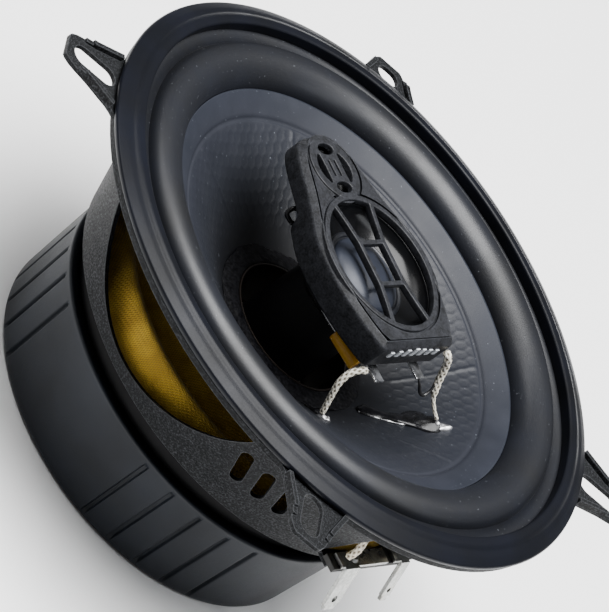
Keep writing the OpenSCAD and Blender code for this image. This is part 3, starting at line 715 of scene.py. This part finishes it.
cone_steps = 96
radii = np.linspace(COIL_R, CONE_R, cone_steps)
cone_profile = [(r, cone_z(r)) for r in radii] + [(r, cone_z(r) - CONE_T) for r in radii[::-6]]


def cone_shape(r, a, z):
    """Adds the relief to the top face of the cone's profile."""
    top = np.arange(len(r)) < cone_steps
    z = z + np.where(top[:, None], cone_relief(r, a), 0)
    return r, z


stand_in(lathe("cone_shell", cone_profile, 720, shape=cone_shape), "cone_assembly", "cone")


def glue_shape(r, a, z):
    """Makes the neck's glue lumpy, with an uneven outer edge."""
    v = np.stack([r * np.cos(a), r * np.sin(a), z], -1).reshape(-1, 3)
    n = (lump(v, 1.3, 3.1) * 0.24 + lump(v, 0.5, 8.4) * 0.16).reshape(r.shape)
    s = lump(v, 5.0, 5.5).reshape(r.shape)
    outside = smooth((r - COIL_R - 0.3) / 1.0)
    return r + n * 0.5 * outside + s * 0.8 * smooth((r - 17) / 2), np.minimum(z + n * outside, NECK_Z + 0.6)


glue_profile = rounded([(COIL_R, NECK_Z + 0.2), (COIL_R + 0.9, NECK_Z + 0.5), (COIL_R + 2.4, NECK_Z + 0.3),
                        (COIL_R + 3.6, NECK_Z + 0.1), (NECK_R, cone_z(NECK_R) + 0.02),
                        (COIL_R + 2.8, cone_z(COIL_R + 2.8) - 0.1), (COIL_R, cone_z(COIL_R) - 0.1)], 0.5, 3)
stand_in(lathe("neck_glue", glue_profile, 300, shape=glue_shape), "cone_assembly", "neck_glue_ring")

# ---------------------------------------------------------------- spider
spider_r = np.linspace(COIL_R + 0.02, SPIDER_R, 120)
spider_profile = [(r, spider_mid(r) + SPIDER_T / 2) for r in spider_r]
spider_profile += [(r, spider_mid(r) - SPIDER_T / 2) for r in spider_r[::-2]]
spider = lathe("spider_disc", spider_profile, 288)
stand_in(spider, None, "spider")
radial_blend(spider)

# ---------------------------------------------------------------- magnet boot
BOOT_R = 43  # for widths in millimetres along the boot's wall
GROOVES = [math.radians(side + (i - 2) * 10) for side in range(45, 360, 90) for i in range(5)]


def boot_angles():
    """Angles of the boot's points, closer together at its grooves."""
    a = list(np.linspace(0, 2 * math.pi, 180, endpoint=False))
    for g in GROOVES:
        a += [g + k / BOOT_R
              for k in (-1.1, -0.8, -0.66, -0.55, -0.44, -0.3, 0, 0.3, 0.44, 0.55, 0.66, 0.8, 1.1)]
    a = np.sort(np.mod(a, 2 * math.pi))
    keep = [a[0]]
    for x in a[1:]:
        if x - keep[-1] > 0.0012:
            keep.append(x)
    return np.array(keep)


def boot_shape(r, a, z):
    """Cuts the upright grooves into the boot's outer wall."""
    depth = np.zeros_like(r)
    for g in GROOVES:
        off = np.abs((a - g + math.pi) % (2 * math.pi) - math.pi) * BOOT_R
        depth = np.maximum(depth, 1 - smooth((off - 0.4) / 0.3))
    along = smooth((z - BOOT_LOW_Z - 1.4) / 0.5) * smooth((BOOT_TOP_Z - 1.5 - z) / 0.5)
    outer = r > 41.2
    return r - np.where(outer, 0.85 * depth * along, 0), z


wall = [(42.2 + (43.5 - 42.2) * t, BOOT_LOW_Z + 2 + 19.4 * t) for t in np.linspace(0, 1, 40)]
boot_profile = [(0, BOOT_LOW_Z + 0.5), (25.6, BOOT_LOW_Z + 0.5), (26, BOOT_LOW_Z)]
boot_profile += [(40.4, BOOT_LOW_Z), (41.2, BOOT_LOW_Z + 0.15), (41.8, BOOT_LOW_Z + 0.6),
                 (42.1, BOOT_LOW_Z + 1.2)]
boot_profile += wall + [(43.45, BOOT_TOP_Z - 0.35), (43.2, BOOT_TOP_Z - 0.05), (42.8, BOOT_TOP_Z)]
boot_profile += [(41, BOOT_TOP_Z), (41, -48), (39.5, -48), (39.5, -53), (0, -53)]
boot = lathe("boot_shell", boot_profile, shape=boot_shape, angles=boot_angles(), closed=False)
stand_in(boot, "frame", "magnet_boot")

# ---------------------------------------------------------------- tweeters
bowl = [(14.35, 9.0), (14.1, 8.3), (13.4, 7.3), (12.4, 6.5), (11.2, 5.95), (10.2, 5.6)]
bowl = [tuple(q[:2]) for q in catmull([(a, b, 0) for a, b in bowl], 6)]
cup_profile = [(9.3, 3.9), (14.6, 3.9), (14.6, 9.0)] + bowl + [(9.3, 5.25)]


def dome_shell(radius, height, thickness, rim_drop, foot_z, step):
    """Profile of a thin dome, from its top out to the rim and back inside."""
    def side(r, h, degrees):
        return [(r * math.sin(math.radians(a)), foot_z + h * math.cos(math.radians(a))) for a in degrees]
    outside = side(radius, height, range(0, 91, step))
    return outside + side(radius - rim_drop, height - thickness, range(90, -1, -step))


big_dome = lathe("tweeter_dome_shell", dome_shell(8.45, 3, 0.3, 0.3, TWEETER_Z, 5), 144, closed=False)
stand_in(big_dome, "large_dome", "tweeter_dome")
big_dome.data.materials[0] = FINISH["dome_film"]
speck = [(0.42 * math.sin(t), TWEETER_Z + 2.97 + 0.16 * math.cos(t))
         for t in np.linspace(0, math.pi / 2, 8)]
speck = finish(lathe("dome_speck", speck, 24, closed=False), "wire_jacket")
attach(speck, "large_dome")
stand_in(lathe("tweeter_cup_shell", cup_profile, 160), "frame", "tweeter_cup")
small_cup = [(0, 5.4), (6.8, 5.4), (6.8, 9.0), (6.2, 9.0), (5.9, 7.2), (5, 6.4), (0, 6.4)]
small_cup = lathe("small_cup_shell", small_cup, 96, closed=False, centre=(0, SMALL_Y))
stand_in(small_cup, "frame", "small_tweeter_cup")
small_dome = lathe("small_dome_shell", dome_shell(4.4, 1.3, 0.2, 0.25, 6.8, 6), 96, closed=False,
                   centre=(0, SMALL_Y))
stand_in(small_dome, "small_dome", "small_tweeter_dome")

# ---------------------------------------------------------------- tweeter housing
TOP_Z = 10.6
OPENING_R = 14.4
EDGE = 0.22  # radius of the rounded edges of the cover plates
BAR = 0.62 - EDGE
half_outline = [(0, 29.7), (3.2, 29.4), (5.4, 28.7), (7, 27.5), (8.3, 25.6), (9.3, 23.4), (10.2, 20.8),
                (11.2, 17.8), (12.5, 14.6), (14.1, 11.2), (15.7, 7.6), (16.6, 4.2), (16.9, 0.8), (16.8, -2.8),
                (16.3, -6.6), (15.4, -10.2), (14.4, -13.4), (13.3, -16.2), (12.2, -18.1), (11, -18.8)]


def even_loop(loop):
    """Points along a closed outline, closely spaced."""
    return np.concatenate([loop + (np.roll(loop, -1, 0) - loop) * k / 6 for k in range(6)])


def distinct(loop):
    """The outline without repeated points or tiny backward steps."""
    for _ in range(6):
        before, after = loop - np.roll(loop, 1, 0), np.roll(loop, -1, 0) - loop
        change = np.arctan2(after[:, 1], after[:, 0]) - np.arctan2(before[:, 1], before[:, 0])
        turn = np.abs(np.angle(np.exp(1j * change)))
        keep = (np.linalg.norm(before, axis=1) > 0.12) & (turn < 0.9)
        loop = loop[keep]
        if keep.all():
            break
    return [tuple(q) for q in loop]


def outline(inset):
    """The bridge's outline, moved in by inset, as a smooth closed loop."""
    side = np.array(half_outline, float)
    side = catmull(np.c_[side[:-2], np.zeros(len(side) - 2)], 4)[:, :2]
    foot = rounded([side[-1], (12.35, -18.3), (11.6, -18.8), (10.4, -18.8)], 0.8, 4, closed=False)
    side = np.r_[side, foot[1:]]
    loop = np.r_[side, side[::-1][:-1] * (-1, 1)]
    t = np.roll(loop, -1, 0) - np.roll(loop, 1, 0)
    t /= np.linalg.norm(t, axis=1)[:, None]
    moved = loop + inset * np.c_[t[:, 1], -t[:, 0]]
    if inset < 0.3:
        return moved
    near = np.linalg.norm(moved[:, None] - even_loop(loop)[None], axis=2).min(1)
    good = np.flatnonzero(near > inset - 0.04)
    for i in np.flatnonzero(near <= inset - 0.04):  # corners where the moved line crosses itself
        before, after = good[good < i], good[good > i]
        a = before[-1] if len(before) else good[-1]
        b = after[0] if len(after) else good[0]
        moved[i] = (moved[a] + moved[b]) / 2
    return moved


def arc(radius, start, end, steps, centre=(0, 0)):
    """Points along an arc, angles in radians."""
    return [(centre[0] + radius * math.cos(a), centre[1] + radius * math.sin(a))
            for a in np.linspace(start, end, steps)]


def plate(name, outer, holes, z_top, thickness):
    """Flat plate with holes and rounded edges, from closed outlines."""
    curve = bpy.data.curves.new(name, "CURVE")
    curve.dimensions = "2D"
    curve.fill_mode = "BOTH"
    curve.extrude = (thickness / 2 - EDGE) * MM
    curve.bevel_depth = EDGE * MM
    curve.bevel_resolution = 2
    for loop in [outer] + holes:
        spline = curve.splines.new("POLY")
        spline.points.add(len(loop) - 1)
        flat = turned([(x, y, 0) for x, y in loop])
        spline.points.foreach_set("co", np.c_[flat, np.ones(len(flat))].ravel())
        spline.use_cyclic_u = True
    o = bpy.data.objects.new(name, curve)
    bpy.context.scene.collection.objects.link(o)
    mesh = bpy.data.meshes.new_from_object(o.evaluated_get(bpy.context.evaluated_depsgraph_get()))
    bpy.data.objects.remove(o)
    mesh.transform(Matrix.Translation((0, 0, (z_top - thickness / 2) * MM)))
    made = bpy.data.objects.new(name, mesh)
    bpy.context.scene.collection.objects.link(made)
    return made


def rim_point(a, b, radius):
    """Where the line from a to b crosses the circle."""
    for t in np.linspace(0, 1, 400):
        q = (a[0] + (b[0] - a[0]) * t, a[1] + (b[1] - a[1]) * t)
        if math.hypot(*q) >= radius:
            return q
    return b


hole_r = OPENING_R + EDGE
outer_leg = [(4.1 + BAR, 4.7), (5.1 + BAR, 9.4)]
outer_leg.append(rim_point(outer_leg[1], (6.7 + BAR, 15), hole_r))
inner_leg = [(4.1 - BAR, 5.2 - EDGE), (5.1 - BAR, 9.4)]
inner_leg.append(rim_point(inner_leg[1], (6.7 - BAR, 15), hole_r))
lean = math.atan2(outer_leg[2][1], outer_leg[2][0])
right_hole = [(x, -y) for x, y in outer_leg[::-1]] + outer_leg + arc(hole_r, lean, -lean, 40)[1:-1]
reach = math.atan2(inner_leg[2][1], inner_leg[2][0])
top_hole = [(-x, y) for x, y in inner_leg[::-1]] + inner_leg + arc(hole_r, reach, math.pi - reach, 30)[1:-1]
frame_hole = [(x * (4.1 - BAR), y * (4.2 + EDGE)) for x, y in ((-1, -1), (1, -1), (1, 1), (-1, 1))]
grille_holes = [right_hole, [(-x, y) for x, y in right_hole], top_hole, [(x, -y) for x, y in top_hole],
                frame_hole]


def small_at(loop):
    """The outline moved to the small tweeter's centre."""
    return [(x, y + SMALL_Y) for x, y in loop]


crescent = [(2.6, 0), (2.7, 3.4), (3.7, 3.5), (4.6, 2.4), (5.2, 1.2), (5.35, 0), (5.2, -1.2), (4.6, -2.4),
            (3.7, -3.5), (2.7, -3.4)]
slot_hole = [(0.45, -2), (1.5, -2), (1.5, 2), (0.45, 2)]
oval = [(2.7 * math.cos(a), 1.5 * math.sin(a)) for a in np.linspace(0, 2 * math.pi, 28, endpoint=False)]
small_holes = [small_at(q) for q in (
    crescent, [(-x, y) for x, y in crescent], slot_hole, [(-x, y) for x, y in slot_hole],
    [(x, y + 4.4) for x, y in oval], [(x, y - 4.4) for x, y in oval])]
RING_R, SMALL_RING_R = 15.7, 7.05
SEAM = 0.5  # gap between each ring and the cover around it
big, small_ring = RING_R + SEAM, SMALL_RING_R + SEAM
cross_y = (big ** 2 - small_ring ** 2 + SMALL_Y ** 2) / (2 * SMALL_Y)
cross_x = math.sqrt(big ** 2 - cross_y ** 2)
a1 = math.atan2(cross_y, cross_x)
a2 = math.atan2(cross_y - SMALL_Y, cross_x)
figure_eight = arc(big, math.pi - a1, 2 * math.pi + a1, 120)
figure_eight += arc(small_ring, a2, math.pi - a2, 60, (0, SMALL_Y))[1:-1]
parts = [plate("cover", distinct(outline(1.5)), [figure_eight], TOP_Z - 0.05, 1.4),
         plate("ring", arc(RING_R - EDGE, 0, 2 * math.pi * 119 / 120, 120), grille_holes, TOP_Z - 0.02, 1.5),
         plate("small_ring", arc(SMALL_RING_R - EDGE, 0, 2 * math.pi * 79 / 80, 80, (0, SMALL_Y)),
               small_holes, TOP_Z, 1.4)]
loops = []
for inset, z in ((1.9, TOP_Z - 0.9), (1.5, TOP_Z - 0.35), (1.3, TOP_Z - 0.3), (0.3, TOP_Z - 1.25),
                 (0.08, TOP_Z - 1.5), (0, TOP_Z - 1.9), (0, 5.6), (0, None), (0.25, None), (1.2, None)):
    loop = outline(inset)
    low = 3.0 + 2.4 * smooth((loop[:, 1] - 12.6) / 0.8) + (0.3 if inset == 0 else 0)
    loops.append(np.c_[loop, low if z is None else np.full(len(loop), z)])
count = len(loops[0])
skirt_faces = [tuple(f) for f in grid_faces(len(loops), count, False, True)]
skirt_faces.append(tuple((len(loops) - 1) * count + k for k in range(count)))
parts.append(add_mesh("skirt", np.concatenate(loops), skirt_faces))
floor_ring = [(14.6, 8.8), (16.4, 8.8), (16.4, 9.9), (14.6, 9.9)]
parts.append(lathe("seam_floor", floor_ring, 120))
small_floor_ring = [(6.2, 8.8), (7.7, 8.8), (7.7, 9.9), (6.2, 9.9)]
parts.append(lathe("small_seam_floor", small_floor_ring, 80, centre=(0, SMALL_Y)))
housing = joined("bridge_housing", parts)
housing.data.shade_smooth()
housing.data.set_sharp_from_angle(angle=math.radians(35))
stand_in(housing, "frame", "tweeter_housing")

# ---------------------------------------------------------------- leads
LEAD = 1.6  # width of a braided lead


def full_width(t):
    return 1


def loose_end(t):
    return 1 - 0.25 * t


def thin_end(t):
    return 1 - 0.5 * smooth((t - 0.55) / 0.2)


front_left = [[-8.7, -19, 1.2], [-10.6, -18.7, 1.2], [-12.4, -18.6, -0.4], [-13.2, -19.2, -3],
              [-12.7, -20.4, -6.4], [-11.9, -21.8, -10.3]]
front_right = [[11.2, -19, 7.6], [11.8, -20.4, 7], [12.9, -21.4, 4.6], [13.4, -22.8, 1.4],
               [14, -24.6, -1.4], [15.2, -26.8, -3.4], [16.3, -28.2, -4.4]]
rear_positive = [[-9.4, -48.2, -21.4], [-9.5, -48.2, -18], [-9.4, -46, -14.2], [-9.6, -41, -12],
                 [-10.6, -33, -12.6], [-11.4, -26.8, -13.4], [-11.8, -23.8, -12.7]]
rear_negative = [[8.8, -48.2, -21.4], [8.9, -48.2, -18], [9.2, -46, -14], [11, -40, -10.4],
                 [14, -34.4, -8.8], [16.4, -30.8, -8.4]]
for lead_name, node_name, points, taper in (
        ("front_lead_left", "tinsel_lead_left", front_left, loose_end),
        ("front_lead_right", "tinsel_lead_right", front_right, thin_end),
        ("rear_braid_positive", "rear_lead_positive", rear_positive, full_width),
        ("rear_braid_negative", "rear_lead_negative", rear_negative, full_width)):
    lead = braided(lead_name, points, LEAD, taper)
    stand_in(lead, None, node_name)
    turned(points[1])
    turned(points[-2])
    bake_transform(lead)

loop_path = [[-8.4, 15.2, 4.6], [-9.6, 16.6, 3.8], [-10.6, 16.4, 2.4], [-9.9, 14.9, 1.8], [-8.8, 13.4, 2]]
stand_in(sweep("tweeter_wire_loop", loop_path, lambda s, length, a: 0.5, 20, 0.15), "frame", "tweeter_wire")
can_wires = (
    [[-8.29, -16.85, -0.4], [-8.1, -17.7, -0.4], [-7.6, -18.6, -0.2], [-6.9, -19, 0.3], [-6.4, -19, 0.8]],
    [[-9.65, -9.15, -0.4], [-9.9, -8, -0.4], [-10.8, -6.2, -0.1], [-12.1, -4.4, 0.6], [-12.5, -3.8, 1.3]])
for i, points in enumerate(can_wires):
    wire = sweep("capacitor_wire_%d" % (i + 1), points, lambda s, length, a: 0.3, 16, 0.12)
    stand_in(wire, "frame", "capacitor_leads")

# ---------------------------------------------------------------- capacitor under the bridge
can = rounded([(0, -4.2), (1.6, -4.2), (1.6, 3.4), (0, 3.4)], 0.5, 5, closed=False)
capacitor = lathe("film_capacitor", can, 64, closed=False)
CAN_CENTRE, CAN_SLANT = (-8.9, -13.4, -0.5), math.radians(10)
lying = Matrix.Rotation(CAN_SLANT, 4, "Z") @ Matrix.Rotation(math.radians(90), 4, "X")
turning = Matrix.Rotation(TURN, 4, "Z") @ lying @ Matrix.Rotation(-TURN, 4, "Z")
tilt = Matrix.Translation(turned(CAN_CENTRE)) @ turning
capacitor.data.transform(tilt)
stand_in(capacitor, "frame", "capacitor")


# ---------------------------------------------------------------- solder, glue and lead strips on the cone
def on_cone_blob(name, centre, along, across, height, heading, seed):
    """Lumpy blob lying on the cone, longer along the heading angle."""
    rings, sides = 14, 40
    pts, faces = [], grid_faces(rings, sides, False, True)
    cosine, sine = math.cos(heading), math.sin(heading)
    for i in range(rings):
        t = i / (rings - 1)
        for k in range(sides):
            a = 2 * math.pi * k / sides
            u, v = math.cos(a) * t * along, math.sin(a) * t * across
            x, y = centre[0] + u * cosine - v * sine, centre[1] + u * sine + v * cosine
            n = noise.noise(Vector((x, y, 0)) / 0.9 + Vector((seed, 0, 0)))
            lift = height * math.sqrt(max(0, 1 - t ** 2.2)) * (1 + 0.35 * n)
            r = math.hypot(x, y)
            pts.append((x, y, cone_z(r) + 0.12 + lift - 0.1 * t))
    return add_mesh(name, pts, [tuple(f) for f in faces])


solder = joined("solder_spots", [
    on_cone_blob("spot_left", (-11.2, -22.6), 1.5, 1.1, 1.0, math.radians(-60), 2.0),
    on_cone_blob("spot_right", (17.2, -29.2), 3.2, 1.2, 1.0, math.radians(-18), 7.0),
    on_cone_blob("spot_right_top", (16.6, -28.6), 1.0, 0.8, 1.9, math.radians(40), 5.0)])
stand_in(solder, "cone_assembly", "solder_pads")
strip_path = [[6.6, -19.4], [8.4, -22], [11, -24.6], [13.6, -26.6], [15.6, -27.9], [18.4, -28.4]]
glue_path = [[x, y, cone_z(math.hypot(x, y)) + 0.25] for x, y in strip_path]


def glue_radius(s, length, a):
    """Radius of the long glue strip, thicker toward the large pad."""
    swell = 1.45 + 0.9 * smooth((s / length - 0.5) / 0.4) + 0.15 * math.sin(s * 0.9)
    return swell * (1 + 0.08 * np.sin(3 * a + 0.6 * s)) * min(1, 0.3 + min(s, length - s) / 1.5)


strip = sweep("glue_strip_right", glue_path, glue_radius, 28, 0.15, flat=(1, 0.5))
short_path = [[x, y, cone_z(math.hypot(x, y)) + 0.2]
              for x, y in ((-8.6, -17.6), (-9.6, -19.6), (-10.6, -21.4))]


def short_glue_radius(s, length, a):
    """Radius of the short glue strip."""
    swell = 0.9 + 0.2 * math.sin(2 * s)
    return swell * (1 + 0.12 * np.sin(3 * a + s)) * min(1, 0.3 + min(s, length - s))


short = sweep("glue_strip_left", short_path, short_glue_radius, 24, 0.15, flat=(1, 0.55))
pool = on_cone_blob("pool", (14.9, -26.0), 3.2, 2.7, 0.75, math.radians(20), 4.0)
strips = joined("glue_strips", [strip, short, pool])
stand_in(strips, "cone_assembly", "coil_lead_strips")
strips.data.materials[0] = FINISH["gloss_glue"]


def glint_radius(s, length, a):
    return 0.16 + 0.07 * math.sin(s * 2.3)


def tail_radius(s, length, a):
    return 0.2 + 0.18 * math.sin(math.pi * s / length)


# Painted highlight: a thin bright solder strand along the lower edge of the glue strip stands in for the
# highlight on the glossy strip's edge.
glint_path = [[x - 0.9, y - 1.1, cone_z(math.hypot(x - 0.9, y - 1.1)) + 0.2] for x, y in strip_path[:-1]]
edge_glint = finish(sweep("lead_strip_edge_glint", glint_path, glint_radius, 12, 0.2), "solder")
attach(edge_glint, "cone_assembly")
tail_path = [[8.2, -21.2, 1.1], [8.9, -22.4, 0.1], [9.9, -23.4, -1.2], [11.1, -23.9, -1.5],
             [12.2, -23.7, -0.6], [12.9, -23.0, 0.8]]
tail = finish(sweep("lug_tail", tail_path, tail_radius, 14, 0.15), "wire_jacket")
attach(tail, "frame")

# ---------------------------------------------------------------- CAD nodes that stay, with softer edges
for node_name, width in {"terminal_board": 0.15, "terminal_positive": 0.12, "terminal_negative": 0.12,
                         "top_plate": 0.3, "badge_bars": 0.1, "solder_lugs": 0.1, "centre_post": 0.4,
                         "bridge_base": 0.3}.items():
    soften(node_name, width)

# ---------------------------------------------------------------- camera, light and floor
CAM_AZ, CAM_EL, CAM_ROLL = math.radians(-26), math.radians(30.55), math.radians(54.14)
CAM_DISTANCE, CAM_LEFT, CAM_DOWN = 1272.5, 8.03, 3.32  # millimetres
FOCAL_MM, SENSOR_MM = 377.93, 36
back = Vector((math.sin(CAM_AZ) * math.cos(CAM_EL), -math.cos(CAM_AZ) * math.cos(CAM_EL), math.sin(CAM_EL)))
ahead = -back
level = ahead.cross(Vector((0, 0, 1))).normalized()
above = level.cross(ahead)
cam_right = math.cos(CAM_ROLL) * level + math.sin(CAM_ROLL) * above
cam_up = -math.sin(CAM_ROLL) * level + math.cos(CAM_ROLL) * above
cam = bpy.data.objects.new("camera", bpy.data.cameras.new("camera"))
bpy.context.scene.collection.objects.link(cam)
cam.data.lens = FOCAL_MM
cam.data.sensor_width = SENSOR_MM
cam.data.clip_start, cam.data.clip_end = 0.1, 10
cam_place = (back * CAM_DISTANCE - cam_right * CAM_LEFT - cam_up * CAM_DOWN) * MM
cam.matrix_world = Matrix.Translation(cam_place) @ Matrix((cam_right, cam_up, back)).transposed().to_4x4()
bpy.context.scene.camera = cam


def light(name, toward, distance, size, power, tint=(1, 1, 1)):
    """Soft rectangular light that faces the speaker, placed along right, up and back of the camera."""
    data = bpy.data.lights.new(name, "AREA")
    data.shape = "RECTANGLE"
    data.size, data.size_y = size
    data.energy = power
    data.color = tint
    obj = bpy.data.objects.new(name, data)
    bpy.context.scene.collection.objects.link(obj)
    place = (cam_right * toward[0] + cam_up * toward[1] + back * toward[2]).normalized() * distance
    obj.location = place
    obj.rotation_mode = "QUATERNION"
    obj.rotation_quaternion = (-place).to_track_quat("-Z", "Y")
    return obj


light("key", (0.1, 0.9, 0.35), 0.9, (0.7, 0.25), 3)
light("left_strip", (-0.9, 0.1, 0.2), 0.9, (0.12, 0.7), 1, (0.93, 0.96, 1))
light("fill_right", (0.95, -0.1, 0.35), 0.9, (0.25, 0.8), 2.5, (0.93, 0.96, 1))
light("low_front", (0.0, -0.85, 0.5), 0.9, (0.8, 0.12), 1.6, (0.9, 0.95, 1))
OVERHEAD_M = 1.4  # height of the large lamp above the cone
overhead = light("overhead", (0, 0, 1), OVERHEAD_M, (1.2, 1.2), 84)
overhead.location = (0, 0, OVERHEAD_M)
overhead.rotation_quaternion = (1, 0, 0, 0)
world = bpy.data.worlds.new("studio")
world.use_nodes = True
world.node_tree.nodes["Background"].inputs["Color"].default_value = (1, 1, 1, 1)
world.node_tree.nodes["Background"].inputs["Strength"].default_value = 0.16
bpy.context.scene.world = world

floor_mesh = bpy.data.meshes.new("floor")
HALF_FLOOR_M = 3.0
corners = [(x * HALF_FLOOR_M, y * HALF_FLOOR_M, BOOT_LOW_Z * MM)
           for x, y in ((-1, -1), (1, -1), (1, 1), (-1, 1))]
floor_mesh.from_pydata(corners, [], [(0, 1, 2, 3)])
floor = bpy.data.objects.new("floor", floor_mesh)
bpy.context.scene.collection.objects.link(floor)
floor_paint = Paint("floor_paint", rough=0.9, specular=0.1)
paper = [(0.3, (0.93, 0.93, 0.93, 1)), (0.7, (0.96, 0.96, 0.96, 1))]
floor_paint.color(floor_paint.ramp(floor_paint.grain(300, 2), paper))
floor_mesh.materials.append(floor_paint.mat)
